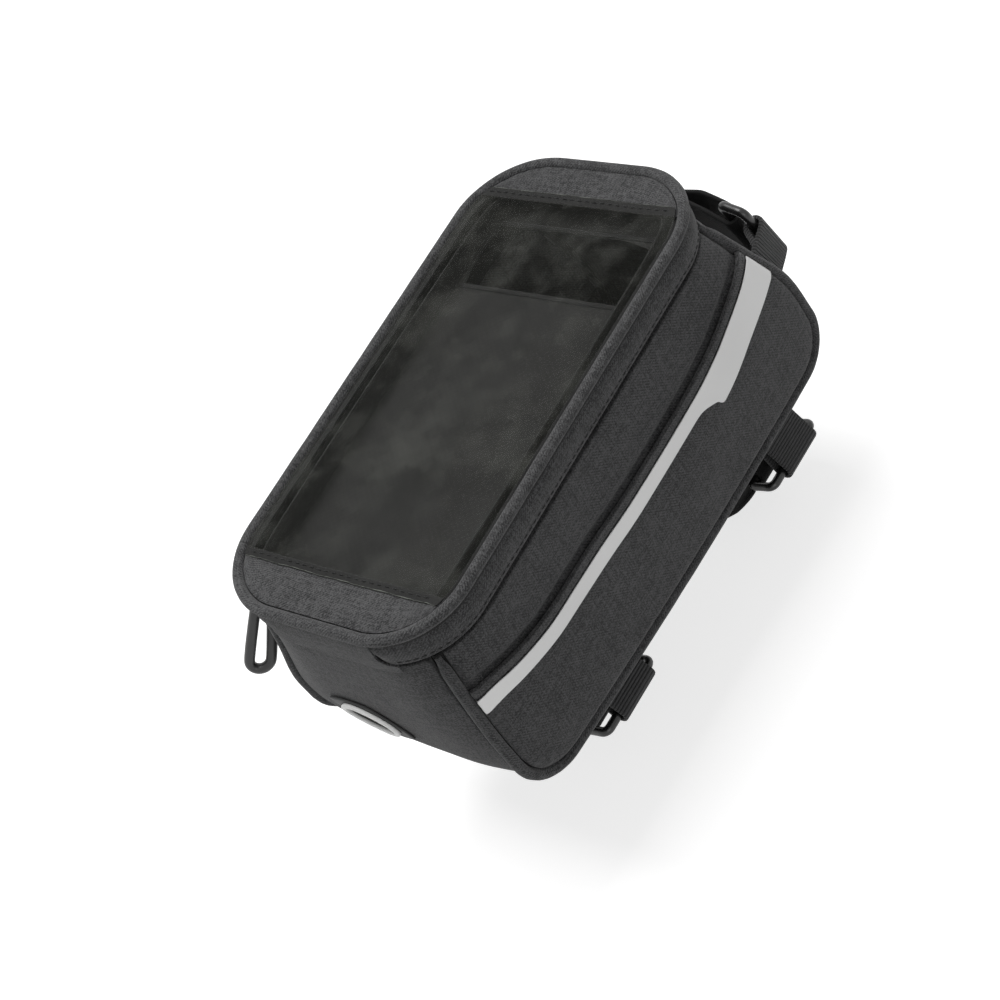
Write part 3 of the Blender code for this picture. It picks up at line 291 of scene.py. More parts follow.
def plain_weave(name, dark, light, pitch, bump=0.5, sheen=0.1):
    """Flat woven cloth for tapes and linings."""
    g = paint(name)
    u, v, _ = g.split(g.uv())
    height = g.times(g.ripple(u, 2 * math.pi / pitch), g.ripple(v, 2 * math.pi / pitch))
    cloud = g.noise(g.place(), 90.0, 3.0)
    tone = g.plus(g.times(height, 0.3), cloud)
    g.set(Base_Color=g.mix(g.span(tone, 0.2, 0.9), dark, light), Roughness=0.85,
          Sheen_Weight=sheen, Specular_IOR_Level=0.25, Normal=g.bump(height, bump, 0.00015))
    return g.owner


def moulded(name, color, roughness, metallic=0.0, grain=900.0, bump=0.12, uneven=0.25):
    """Moulded or cast surface with a fine grain and uneven gloss."""
    g = paint(name)
    fine = g.noise(g.place(), grain, 3.0)
    wide = g.noise(g.place(), 60.0)
    lighter = tuple(min(1.0, c * (1 + uneven)) for c in color)
    g.set(Base_Color=g.mix(wide, color, lighter), Metallic=metallic, Specular_IOR_Level=0.5,
          Roughness=g.span(wide, 0.2, 0.8, roughness * 0.85, roughness * 1.15),
          Normal=g.bump(fine, bump, 0.0001))
    return g.owner


def film_sheet(name):
    """Clear flexible film, a little hazy where it has been handled."""
    g = paint(name)
    haze = g.noise(g.place(), 48.0, 4.0, 0.6)
    smear = g.noise(g.place(), 110.0, 3.0, 0.65)
    alpha = g.plus(g.span(haze, 0.42, 0.75, 0.05, 0.22), g.span(smear, 0.5, 0.8, 0.0, 0.12))
    u, _, _ = g.split(g.uv())
    long, fold, faded = FILM_FRONT_Y - FILM_REAR_Y, 3.0, 3.4
    hem = g.plus(g.span(u, fold, faded, 1.0, 0.0), g.span(u, long - faded, long - fold))
    alpha = g.plus(alpha, g.times(hem, 0.65))
    g.set(Base_Color=g.mix(hem, (0.085, 0.087, 0.078), (0.028, 0.028, 0.027)), Alpha=alpha,
          Roughness=g.span(haze, 0.3, 0.7, 0.07, 0.2), IOR=1.5, Specular_IOR_Level=0.12,
          Normal=g.bump(haze, 0.12, 0.001))
    return g.owner


def reflective(name):
    """Reflective tape: pale, with a fine bead texture."""
    g = paint(name)
    bead = g.noise(g.place(), 1500.0, 1.0)
    wide = g.noise(g.place(), 40.0)
    g.set(Base_Color=g.mix(wide, (0.76, 0.76, 0.755), (0.86, 0.86, 0.855)), Roughness=0.5,
          Metallic=0.1, Specular_IOR_Level=0.4, Normal=g.bump(bead, 0.15, 0.0001))
    return g.owner


CLOTH = twill("charcoal_twill", (0.012, 0.012, 0.0125), (0.102, 0.102, 0.104))
# The same twill, finer, with both colours set a little lighter as painted light, for the light that
# the rounded piping and binding catch.
CORD_CLOTH_PAINTED_LIGHT = twill("cord_twill_painted_light", (0.014, 0.014, 0.0145), (0.112, 0.112, 0.114), pitch=0.28)
LINING = plain_weave("lining_cloth", (0.008, 0.008, 0.0075), (0.014, 0.014, 0.0132), 2.6, 0.08)
# Black tape cloth, its colours pushed darker still as painted shade, so that the slit under the
# flap and the creases where the tape shows read dark.
SHADE_DARKENED_TAPE = plain_weave("zip_tape_cloth_shade_darkened", (0.005, 0.005, 0.005), (0.018, 0.018, 0.018), 0.8)
STRAP = webbing_cloth("strap_webbing", (0.006, 0.006, 0.006), (0.042, 0.042, 0.043))
# Near-black cloth for the strap loops: partly the strap's own dark colour, partly painted shade for
# the shaded inner faces of the loops.
LOOP_BLACK_AND_SHADE = plain_weave("strap_loop_black_and_shade", (0.002, 0.002, 0.002), (0.009, 0.009, 0.009), 0.9, 0.3, 0.0)
THREAD = plain_weave("sewing_thread", (0.006, 0.006, 0.006), (0.028, 0.028, 0.028), 0.3)
FILM = film_sheet("window_film")
# Dark cut edge of the film; its strong uneven lightening gives patchy painted glints along the
# edge.
EDGE_GLINTS = moulded("film_cut_edge_glints", (0.06, 0.064, 0.055), 0.25, bump=0.3, uneven=1.5)
STRIPE = reflective("reflective_tape")
COIL = moulded("zip_coil_nylon", (0.016, 0.016, 0.017), 0.4)
PLASTIC = moulded("buckle_plastic", (0.008, 0.008, 0.008), 0.28, grain=500.0, bump=0.08)
RUBBER = moulded("port_rubber", (0.014, 0.014, 0.014), 0.6, grain=700.0, bump=0.2)
WHITE = moulded("port_ring_plastic", (0.84, 0.84, 0.83), 0.45, grain=600.0, uneven=0.1)
BOARD = moulded("base_board_plastic", (0.022, 0.022, 0.022), 0.6, grain=400.0, bump=0.4)
METAL = moulded("slider_metal", (0.05, 0.05, 0.052), 0.35, metallic=0.8, bump=0.06)
PULLER = moulded("puller_rubber", (0.020, 0.020, 0.020), 0.45, grain=800.0, bump=0.12)


# Mesh making.

def put(name, data):
    """New object of this data, in the scene."""
    made = bpy.data.objects.new(name, data)
    bpy.context.scene.collection.objects.link(made)
    return made


def read(items, key, width=1, kind=float):
    """One attribute of mesh parts as an array."""
    values = np.empty(len(items) * width, kind)
    items.foreach_get(key, values)
    return values.reshape(-1, width) if width > 1 else values


def add_piece(name, points, faces, material, body, slot, stands_for=(), flat=None):
    """Make a piece from lid millimetres, ride it on a body and say which nodes it replaces."""
    mesh = bpy.data.meshes.new(name)
    mesh.from_pydata([BAG @ (Vector(p) * MM) for p in points], [], faces)
    work = bmesh.new()
    work.from_mesh(mesh)
    layer = work.loops.layers.uv.new("flat")
    if flat:
        work.faces.ensure_lookup_table()
        for face, corners in zip(work.faces, flat):
            for loop, uv in zip(face.loops, corners):
                loop[layer].uv = uv
    work.normal_update()
    if work.calc_volume(signed=True) < 0:
        bmesh.ops.reverse_faces(work, faces=work.faces)
    work.to_mesh(mesh)
    work.free()
    return finish_piece(mesh, name, material, body, slot, stands_for, not flat)


def finish_piece(mesh, name, material, body, slot, stands_for=(), box=True):
    """Make an object of a mesh, ride it on its body and say what it replaces."""
    if body == "bag":
        shift(mesh, slump)
    if box:
        box_uv(mesh)
    mesh.materials.clear()
    mesh.materials.append(material)
    piece = put(name, mesh)
    mesh.shade_smooth()
    mesh.set_sharp_from_angle(angle=SHARP_ANGLE)
    if body:
        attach(piece, body)
    if stands_for:
        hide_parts(*stands_for)
    return piece


def box_uv(mesh):
    """Millimetre UVs, laid flat along whichever axis each face looks most."""
    layer = mesh.uv_layers.get("flat") or mesh.uv_layers.new(name="flat")
    mesh.uv_layers.active = layer
    normals = np.abs(read(mesh.polygons, "normal", 3))
    sizes = read(mesh.polygons, "loop_total", kind=int)
    axis = np.repeat(np.argmax(normals, axis=1), sizes)
    place = read(mesh.vertices, "co", 3)[read(mesh.loops, "vertex_index", kind=int)] / MM
    first = np.where(axis == 0, place[:, 1], place[:, 0])
    second = np.where(axis == 2, place[:, 1], place[:, 2])
    layer.data.foreach_set("uv", np.stack([first, second], 1).astype(np.float32).ravel())


def spread(low, high, steps):
    """Even values from low to high."""
    return [low + (high - low) * k / steps for k in range(steps + 1)]


def walked_lengths(points):
    """How far along a path each of its points lies."""
    lengths = [0.0]
    for a, b in zip(points, points[1:]):
        lengths.append(lengths[-1] + math.dist(a, b))
    return lengths


def step_at(lengths, target):
    """The step of a path that holds a distance along it, and the share of that step."""
    i = 0
    while i < len(lengths) - 2 and target > lengths[i + 1]:
        i += 1
    return i, min((target - lengths[i]) / max(lengths[i + 1] - lengths[i], 1e-9), 1.0)


def bar_faces(low, sides, rings):
    """Faces of a capped bar, whose rings of points start at the index low."""
    faces = []
    for j in range(rings - 1):
        for k in range(sides):
            after = (k + 1) % sides
            faces.append((low + j * sides + k, low + j * sides + after,
                          low + (j + 1) * sides + after, low + (j + 1) * sides + k))
    for start in (low, low + (rings - 1) * sides):
        faces.append(tuple(range(start, start + sides)))
    return faces


def loft(name, rows, material, body, slot, stands_for=(), closed_run=False):
    """Skin over rings of points, capped at both ends unless the run of rings closes too."""
    wide, tall = len(rows[0]), len(rows)
    points = [p for row in rows for p in row]
    across = walked_lengths(rows[tall // 2] + rows[tall // 2][:1])
    down = walked_lengths([row[0] for row in rows + rows[:1]])
    faces, flat = [], []
    for j in range(tall if closed_run else tall - 1):
        for i in range(wide):
            i2, j2 = (i + 1) % wide, (j + 1) % tall
            faces.append((j * wide + i, j * wide + i2, j2 * wide + i2, j2 * wide + i))
            flat.append(((down[j], across[i]), (down[j], across[i + 1]),
                         (down[j + 1], across[i + 1]), (down[j + 1], across[i])))
    if not closed_run:
        for start in (0, (tall - 1) * wide):
            faces.append(tuple(range(start, start + wide)))
            flat.append(tuple((0.0, across[i]) for i in range(wide)))
    return add_piece(name, points, faces, material, body, slot, stands_for, flat)


def sheet_solid(name, rows, thickness, material, body, slot, stands_for=()):
    """Thin closed sheet through rows of points, as thick as asked, centred on them."""
    grid = np.array([[tuple(p) for p in row] for row in rows])
    normal = np.cross(np.gradient(grid, axis=1), np.gradient(grid, axis=0))
    size = np.linalg.norm(normal, axis=2, keepdims=True)
    normal = normal / np.where(size > 1e-9, size, 1.0)
    offset = normal * thickness / 2
    rings = np.concatenate([grid + offset, (grid - offset)[:, ::-1]], axis=1)
    loops = [[tuple(p) for p in ring] for ring in rings]
    return loft(name, loops, material, body, slot, stands_for)


def arc(center, radius, start, end, steps):
    angles = [math.radians(angle) for angle in spread(start, end, steps)]
    return [(center[0] + radius * math.cos(angle), center[1] + radius * math.sin(angle))
            for angle in angles]


def lid_run(spacing, gap_half=0.0):
    """Stations round the lid outline as (x, y, outward x, outward y), from the rear middle."""
    right = []
    rear = (HALF_WIDTH - REAR_CORNER, -HALF_LENGTH + REAR_CORNER)
    front = (HALF_WIDTH - FRONT_CORNER, HALF_LENGTH - FRONT_CORNER)
    begin = -90.0
    if gap_half > rear[0]:
        begin = -math.degrees(math.acos((gap_half - rear[0]) / REAR_CORNER))
    else:
        steps = max(2, round((rear[0] - gap_half) / spacing))
        right += [(x, -HALF_LENGTH, 0.0, -1.0) for x in spread(gap_half, rear[0], steps)[:-1]]
    for center, radius, start, end in ((rear, REAR_CORNER, begin, 0.0),
                                       (front, FRONT_CORNER, 0.0, 90.0)):
        steps = round(math.radians(end - start) * radius / spacing)
        for angle in spread(start, end, steps):
            nx, ny = math.cos(math.radians(angle)), math.sin(math.radians(angle))
            right.append((center[0] + radius * nx, center[1] + radius * ny, nx, ny))
        if center is rear:
            steps = round((front[1] - rear[1]) / spacing)
            right += [(HALF_WIDTH, y, 1.0, 0.0) for y in spread(rear[1], front[1], steps)[1:-1]]
    steps = round(front[0] / spacing)
    right += [(x, HALF_LENGTH, 0.0, 1.0) for x in spread(front[0], 0.0, steps)[1:-1]]
    middle = [(0.0, HALF_LENGTH, 0.0, 1.0)]
    left = [(-x, y, -nx, ny) for x, y, nx, ny in reversed(right)]
    if not gap_half:
        left = left[:-1]
    return right + middle + left


def station(run, k, out, z):
    """Place at a station of a run, so far outward and so high."""
    x, y, nx, ny = run[k]
    return (x + nx * out, y + ny * out, z)


def wander(a, b=0.0, c=0.0):
    """Smooth noise from minus one to one."""
    return noise.noise(Vector((a, b, c)))


def run_lengths(run):
    return walked_lengths([spot[:2] for spot in run])


def smooth_path(points, steps):
    knots = [Vector(p) for p in points]
    ends = [2 * knots[0] - knots[1]] + knots + [2 * knots[-1] - knots[-2]]
    curve = []
    for i in range(1, len(ends) - 2):
        a, b, c, d = ends[i - 1:i + 3]
        for k in range(steps):
            t = k / steps
            curve.append(0.5 * (2 * b + (c - a) * t + (2 * a - 5 * b + 4 * c - d) * t ** 2
                                + (3 * b - a - 3 * c + d) * t ** 3))
    curve.append(knots[-1])
    return curve


def resample(path, spacing):
    """The same path with evenly spaced points."""
    lengths = walked_lengths(path)
    count = max(2, round(lengths[-1] / spacing))
    even = []
    for target in spread(0.0, lengths[-1], count):
        i, share = step_at(lengths, target)
        even.append(path[i].lerp(path[i + 1], share))
    return even


def circle(sides):
    angles = [2 * math.pi * k / sides for k in range(sides)]
    return [(math.cos(angle), math.sin(angle)) for angle in angles]


def cord_rows(path, radius, guides, sides, closed, seed, taper=0):
    """Rings of points round a path; the radius wavers as cloth-covered cord does.
    With a taper, as many rings at each end narrow to half the radius."""
    rows = []
    count = len(path)
    walked = 0.0
    for i, center in enumerate(path):
        before = path[(i - 1) % count] if closed or i else path[0]
        after = path[(i + 1) % count] if closed or i < count - 1 else path[-1]
        tangent = (after - before).normalized()
        side = guides[i].cross(tangent).normalized()
        other = tangent.cross(side)
        walked += (after - center).length
        size = radius * (1 + 0.03 * wander(walked * 0.12, seed) - 0.02)
        if taper:
            size *= 0.5 + 0.5 * float(ease(min(i, count - 1 - i) / taper))
        rows.append([center + size * (a * side + b * other) for a, b in circle(sides)])
    return rows


def base_line(y):
    return -BASE_DROP - y * math.tan(BASE_PITCH)


def lower_half_width(y):
    share = (y - REAR_FACE_Y) / (FRONT_FACE_Y - REAR_FACE_Y)
    ends = REAR_HALF_WIDTH + (FRONT_HALF_WIDTH - REAR_HALF_WIDTH) * share
    return ends + BELLY * math.sin(math.pi * min(max(share, 0.0), 1.0))


def corner_point(front):
    radius = FRONT_CORNER if front else REAR_CORNER
    reach = radius * math.sqrt(0.5)
    along = HALF_LENGTH - radius + reach
    return Vector((HALF_WIDTH - radius + reach, along if front else -along, RIM_Z))


def end_edge(front):
    """Right piping of one end, from the rim down round the bottom corner."""
    top = corner_point(front)
    if front:
        sign, face, bend, width = 1, FRONT_FACE_Y, FRONT_BEND, FRONT_HALF_WIDTH
    else:
        sign, face, bend, width = -1, REAR_FACE_Y, REAR_BEND, REAR_HALF_WIDTH
    center_y = face - sign * bend
    center_z = base_line(center_y) + bend
    drop = center_z - top.z
    splay = width - top.x
    if front:
        knots = [(0.62, face - 9.0, 0.36), (0.96, face - 2.4, 0.66)]
    else:
        reach = face - top.y
        knots = [(0.22, top.y + 0.40 * reach, 0.34), (0.70, top.y + 0.85 * reach, 0.68)]
    points = [top] + [Vector((top.x + x * splay, y, top.z + z * drop)) for x, y, z in knots]
    points.append(Vector((width, face, center_z)))
    fall = smooth_path(points, 4)
    sweep = (0, -90) if front else (180, 270)
    turn = arc((center_y, center_z), bend, *sweep, 8)[1:]
    return fall + [Vector((lower_half_width(y), y, z)) for y, z in turn]


def side_edge():
    """Whole right piping, rear rim to front rim."""
    start, end = REAR_FACE_Y + REAR_BEND, FRONT_FACE_Y - FRONT_BEND
    base = [Vector((lower_half_width(y), y, base_line(y))) for y in spread(start, end, 8)[1:-1]]
    return end_edge(False) + base + end_edge(True)[::-1]


def soften(node, levels):
    """Copy of a CAD node's mesh, welded, made of quads and smoothed between its sharp edges."""
    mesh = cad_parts[node].data.copy()
    work = bmesh.new()
    work.from_mesh(mesh)
    bmesh.ops.remove_doubles(work, verts=work.verts, dist=1e-6)
    bmesh.ops.join_triangles(work, faces=work.faces, angle_face_threshold=0.6,
                             angle_shape_threshold=0.9)
    crease = work.edges.layers.float.new("crease_edge")
    for edge in work.edges:
        if len(edge.link_faces) == 2 and edge.calc_face_angle(0.0) > SHARP_ANGLE:
            edge[crease] = 0.85
    work.to_mesh(mesh)
    work.free()
    holder = put("holder", mesh)
    layer = holder.modifiers.new("smooth", "SUBSURF")
    layer.levels = levels
    layer.render_levels = levels
    ready = holder.evaluated_get(bpy.context.evaluated_depsgraph_get())
    result = bpy.data.meshes.new_from_object(ready)
    bpy.data.objects.remove(holder)
    return result


def shift(mesh, mover):
    """Add mover(points) to a mesh's points, in lid millimetres."""
    back, there = np.array(BAG.inverted()), np.array(BAG)
    local = (read(mesh.vertices, "co", 3) @ back[:3, :3].T + back[:3, 3]) / MM
    local = local + mover(local)
    spots = (local * MM) @ there[:3, :3].T + there[:3, 3]
    mesh.vertices.foreach_set("co", spots.ravel())
    mesh.update()


def dress(node, levels, piece, material, body, slot, mover=None, swell=0.0):
    """Softened copy of a CAD node, moved and fattened as asked, in the node's place."""
    mesh = soften(node, levels)
    if mover:
        shift(mesh, mover)
    if swell:
        fatten(mesh, swell)
    return finish_piece(mesh, piece, material, body, slot, [node])


def fatten(mesh, amount):
    """Push every point outward, so that a thin bar becomes a rounder one."""
    for point, normal in zip(mesh.vertices, [n.vector.copy() for n in mesh.vertex_normals]):
        point.co += normal * amount * MM
    mesh.update()


def ease(value):
    share = np.clip(value, 0.0, 1.0)
    return share * share * (3 - 2 * share)


def ramp(value, width):
    """How much of a width a value has come, held between none and all."""
    return np.clip(value / width, 0, 1)


def slump(spots):
    """The bag's rear bottom corner on the left is pressed in a little."""
    x, y, z = spots.T
    share = ease((8.0 - x) / 45.0) * ease((-42.0 - y) / 40.0) * ease((-42.0 - z) / 36.0)
    return share[:, None] * np.array([0.4, 2.4, 1.9])


def soft_noise(a, b, seed):
    """Sum of slow waves, smooth and repeatable, from about minus one to one."""
    maker = random.Random(seed)
    total = np.zeros_like(a)
    for _ in range(7):
        turn = maker.uniform(0, math.pi)
        rate = maker.uniform(0.05, 0.16)
        phase = maker.uniform(0, 2 * math.pi)
        total += np.sin((a * math.cos(turn) + b * math.sin(turn)) * rate + phase)
    return total / 4.5


def seam_distance(spots, path):
    """Distance from points to a seam, and how far along it the nearest place is."""
    best, where = np.full(len(spots), 1e9), np.zeros(len(spots))
    for spot, along in zip(path, walked_lengths(path)):
        gap = np.linalg.norm(spots - np.array(spot), axis=1)
        closer = gap < best
        best, where = np.where(closer, gap, best), np.where(closer, along, where)
    return best, where


def stitch_row(name, path, outs, body, length, gap, radius=0.24):
    """Run of sewn stitches lying on a path; outs are the outward directions."""
    walked = walked_lengths(path)

    def spot(target):
        i, share = step_at(walked, target)
        return path[i].lerp(path[i + 1], share), outs[i].lerp(outs[i + 1], share).normalized()

    points, faces = [], []
    sides = 6
    start = 0.5
    while start + length < walked[-1]:
        (a, out), (b, _) = spot(start), spot(start + length)
        tangent = (b - a).normalized()
        side = tangent.cross(out).normalized()
        low = len(points)
        for share, size, sink in ((0.0, 0.25, -1.0), (0.15, 0.85, 0.1), (0.5, 1.0, 0.6),
                                  (0.85, 0.85, 0.1), (1.0, 0.25, -1.0)):
            middle = a.lerp(b, share) + out * (0.1 + sink * radius * 0.6)
            points += [middle + radius * size * (c * side + s * out) for c, s in circle(sides)]
        faces += bar_faces(low, sides, 5)
        start += length + gap
    return add_piece(name, points, faces, THREAD, body, "cloth")


# Lid.

def make_lid_cloth(front):
    """End panel of the lid: cloth that puffs a little between its seams."""
    rows = []
    sign = 1 if front else -1
    radius = FRONT_CORNER if front else REAR_CORNER
    under_film = 3.0
    line = FILM_FRONT_Y - under_film if front else FILM_REAR_Y + under_film
    inner = radius - 2.3
    center_x = HALF_WIDTH - radius
    center_y = HALF_LENGTH - radius
    reach = center_x + math.sqrt(inner ** 2 - (abs(line) - center_y) ** 2) - 0.05
    for x in spread(-reach, reach, 72):
        over = max(abs(x) - center_x, 0.0)
        edge = center_y + math.sqrt(max(inner ** 2 - over ** 2, 0.0))
        column = []
        for t in spread(0.0, 1.0, 14):
            y = abs(line) + (edge - abs(line)) * t
            puff = 0.35 * math.sin(math.pi * min(1.0, max(0.0, (t - 0.25) / 0.75)))
            pucker = 0.12 * math.sin(x * 1.15 + 2 * wander(x * 0.1, sign)) * t ** 3
            fold = 0.16 * wander(x * 0.09, y * 0.12, sign * 3.0) * math.sin(math.pi * t)
            column.append((x, sign * y, LID_CLOTH_Z + (puff + pucker + fold) * min(1.0, 4 * t)))
        rows.append(column)
    end = "front" if front else "rear"
    sheet_solid("lid_cloth_" + end, rows, LID_CLOTH_THICKNESS, CLOTH, "lid", "cloth",
                [f"lid_{end}_panel"])


def film_edge(front, x):
    """Hand-cut end of the film."""
    base = FILM_FRONT_Y if front else FILM_REAR_Y
    return base + 0.5 * wander(x * 0.07, 4.0 if front else 9.0) + 0.22 * wander(x * 0.35, 2.0)


def film_half_width(y):
    radius = FRONT_CORNER if y > 0 else REAR_CORNER
    over = max(abs(y) - (HALF_LENGTH - radius), 0.0)
    return HALF_WIDTH - radius + math.sqrt((radius - CORD_INSET) ** 2 - over ** 2)


def make_film():
    rows = []
    for t in spread(0.0, 1.0, 110):
        row = []
        for s in spread(-1.0, 1.0, 56):
            x = s * film_half_width(FILM_REAR_Y + (FILM_FRONT_Y - FILM_REAR_Y) * t)
            low, high = film_edge(False, x), film_edge(True, x)
            y = low + (high - low) * t
            x = s * film_half_width(max(FILM_REAR_Y, min(FILM_FRONT_Y, y)))
            inside = min(1.0, 6 * (1 - abs(s))) * min(1.0, 9 * t) * min(1.0, 9 * (1 - t))
            wave = 0.35 * wander(x * 0.03, y * 0.022, 1.0) + 0.1 * wander(x * 0.11, y * 0.07, 5.0)
            row.append((x, y, FILM_Z + 0.9 * wave * inside))
        rows.append(row)
    sheet_solid("window_sheet", rows, FILM_THICKNESS, FILM, "lid", "film", ["window_film"])
    half, margin = 38.0, 1.7
    for front in (False, True):
        path, outs = [], []
        for x in spread(-half, half, 60):
            y = film_edge(front, x) + (-margin if front else margin)
            path.append(Vector((x, y, FILM_Z + 0.14)))
            outs.append(Vector((0, 0, 1)))
        end = "front" if front else "rear"
        stitch_row("film_stitches_" + end, path, outs, "lid", length=2.0, gap=1.1)
        # Thin bead along the cut edge of the film, carrying the painted glints of its material.
        rim = []
        reach = film_half_width(FILM_FRONT_Y if front else FILM_REAR_Y) - 0.5
        for x in spread(-reach, reach, 80):
            y = film_edge(front, x)
            size = 0.12 + 0.1 * max(0.0, wander(x * 0.2, 7.0, 3.0 if front else 1.0))
            rim.append([(x, y + size * math.cos(a), FILM_Z + 0.02 + size * 1.2 * math.sin(a))
                        for a in (0, 1.05, 2.09, 3.14, 4.19, 5.24)])
        loft("film_rim_" + end, rim, EDGE_GLINTS, "lid", "film")


def make_lid_cord():
    """Piping round the lid, the near-black welt below it as painted shade in the crease between
    piping and flap, and the tape behind its seam.
    """
    run = lid_run(CORD_SPACING)
    path = [Vector((x, y, -1.0)) for x, y, _, _ in run]
    guides = [Vector((0, 0, 1))] * len(path)
    rows = cord_rows(path, CORD_RADIUS, guides, CORD_SIDES, True, 2.0)
    loft("lid_cord", rows, CORD_CLOTH_PAINTED_LIGHT, "lid", "piping", ["lid_piping"], closed_run=True)
    # Painted shade: a near-black strip under the piping, standing in for the shade in the crease
    # above the flap.
    welt = ((-0.2, -2.6), (0.42, -2.75), (0.42, -4.1), (-0.2, -4.1))
    tape = ((-4.0, -1.3), (-1.0, -1.3), (-1.0, -1.75), (-4.0, -1.75))
    for name, profile in (("lid_welt_painted_shade", welt), ("lid_seam_tape", tape)):
        rows = [[station(run, k, out, z) for out, z in profile] for k in range(len(run))]
        loft(name, rows, SHADE_DARKENED_TAPE, "lid", "cloth", closed_run=True)


def flap_section(s, total):
    """Outer profile of the flap at a place along it: top, soft face, turned hem."""
    pucker = 0.10 * math.sin(s * 1.25 + 2.5 * wander(s * 0.05, 3.0))
    sway = 0.22 * wander(s * 0.035, 8.0) + 0.12 * wander(s * 0.11, 1.0)
    end = min(s, total - s)
    rise = 0.0
    if end < FLAP_TURN:
        rise = FLAP_TURN - math.sqrt(FLAP_TURN ** 2 - (FLAP_TURN - end) ** 2)
    low = FLAP_BOTTOM + 0.25 + rise * 0.9
    tall = FLAP_TOP - low
    outer = []
    for t, out in ((0.0, -0.1), (0.08, 0.35), (0.22, 0.86), (0.45, 1.0), (0.62, 0.92),
                   (0.76, 0.74), (0.86, 0.5), (0.93, 0.56), (0.985, 0.4)):
        bulge = (sway + pucker * (1 - t)) * math.sin(math.pi * min(t * 1.05, 1.0))
        outer.append((out + bulge, FLAP_TOP - tall * t))
    inner = [(0.25, low), (-0.3, low + 0.35), (-0.4, low + tall * 0.3), (-0.35, FLAP_TOP)]
    return outer + inner


def make_flap():
    run = lid_run(RUN_SPACING, HINGE_HALF)
    lengths = run_lengths(run)
    stitch_level, bare_end = 6, 4.0
    rows, line, outs = [], [], []
    for k in range(len(run)):
        section = flap_section(lengths[k], lengths[-1])
        rows.append([station(run, k, out, z) for out, z in section])
        if bare_end < lengths[k] < lengths[-1] - bare_end:
            out, z = section[stitch_level]
            line.append(Vector(station(run, k, out, z)))
            outs.append(Vector((run[k][2], run[k][3], 0.0)))
    loft("flap_cloth", rows, CLOTH, "lid", "cloth", ["rain_flap"])
    stitch_row("flap_stitches", line, outs, "lid", length=1.9, gap=0.8, radius=0.2)


def make_hinge_cloth():
    """Rear stretch of the flap: runs on past the slit onto the rear wall, so it bends there."""
    rows = []
    rest = 0.62
    levels = [FLAP_TOP - 0.6 * k for k in range(18)] + [-14.0, -14.5, -15.1, -15.8, -16.6, -17.4]
    for z in levels:
        half = HINGE_HALF - 0.35
        if z < FLAP_BOTTOM + FLAP_TURN:
            depth = min(FLAP_TURN, FLAP_BOTTOM + FLAP_TURN - z)
            half += FLAP_TURN - math.sqrt(max(FLAP_TURN ** 2 - depth ** 2, 0.0)) - 0.3
        row = []
        for x in spread(-half, half, 32):
            over = max(abs(x) - (HALF_WIDTH - REAR_CORNER), 0.0)
            back = HALF_LENGTH - REAR_CORNER + math.sqrt(REAR_CORNER ** 2 - over ** 2)
            slope = over / REAR_CORNER
            share = min(1.0, max(0.0, (z - FLAP_BOTTOM + 1.0) / 2.5))
            out = rest + 0.3 * math.sin(math.pi * min(1.0, (FLAP_TOP - z) / 11.0)) * share
            if z < -13.0:
                out = rest - 0.10 * (-13.0 - z)
            out += 0.12 * wander(x * 0.08, z * 0.15, 6.0) * share
            y = -back - out * math.sqrt(1 - slope ** 2)
            row.append((x + math.copysign(slope * out, x), y, z))
        rows.append(row)
    piece = sheet_solid("hinge_cloth", rows, 0.7, CLOTH, None, "cloth", ["lid_hinge_band"])
    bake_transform(piece)


def make_window_pocket():
    """Lining tray under the window, its floor a little slack, with a bound mouth."""
    floor_z, slack_depth = -8.5, 0.35

    def slack(spots):
        x, y, z = spots.T
        inside = ramp(36.0 - np.abs(x), 10.0) * ramp(82.0 - np.abs(y), 10.0)
        move = np.zeros_like(spots)
        move[:, 2] = np.where(z < floor_z, slack_depth * soft_noise(x * 1.2, y, 5) * inside, 0.0)
        return move

    dress("window_sleeve", 2, "window_pocket", LINING, "lid", "lining", slack)
    half = 35.0
    lip = ((0.0, -0.5), (0.0, 0.75), (0.6, 0.82), (1.0, 0.55), (1.0, 0.45), (0.5, 0.4))
    for name, y, toward in (("mouth_binding_rear", 44.0, -1), ("mouth_binding_front", 70.0, 1)):
        rows = []
        for x in spread(-half, half, 35):
            sag = 0.3 * wander(x * 0.08, y)
            rows.append([(x, y + toward * (0.1 + 1.5 * c), -9.75 + sag + s) for c, s in lip])
        loft(name, rows, SHADE_DARKENED_TAPE, "lid", "lining")


# Body.

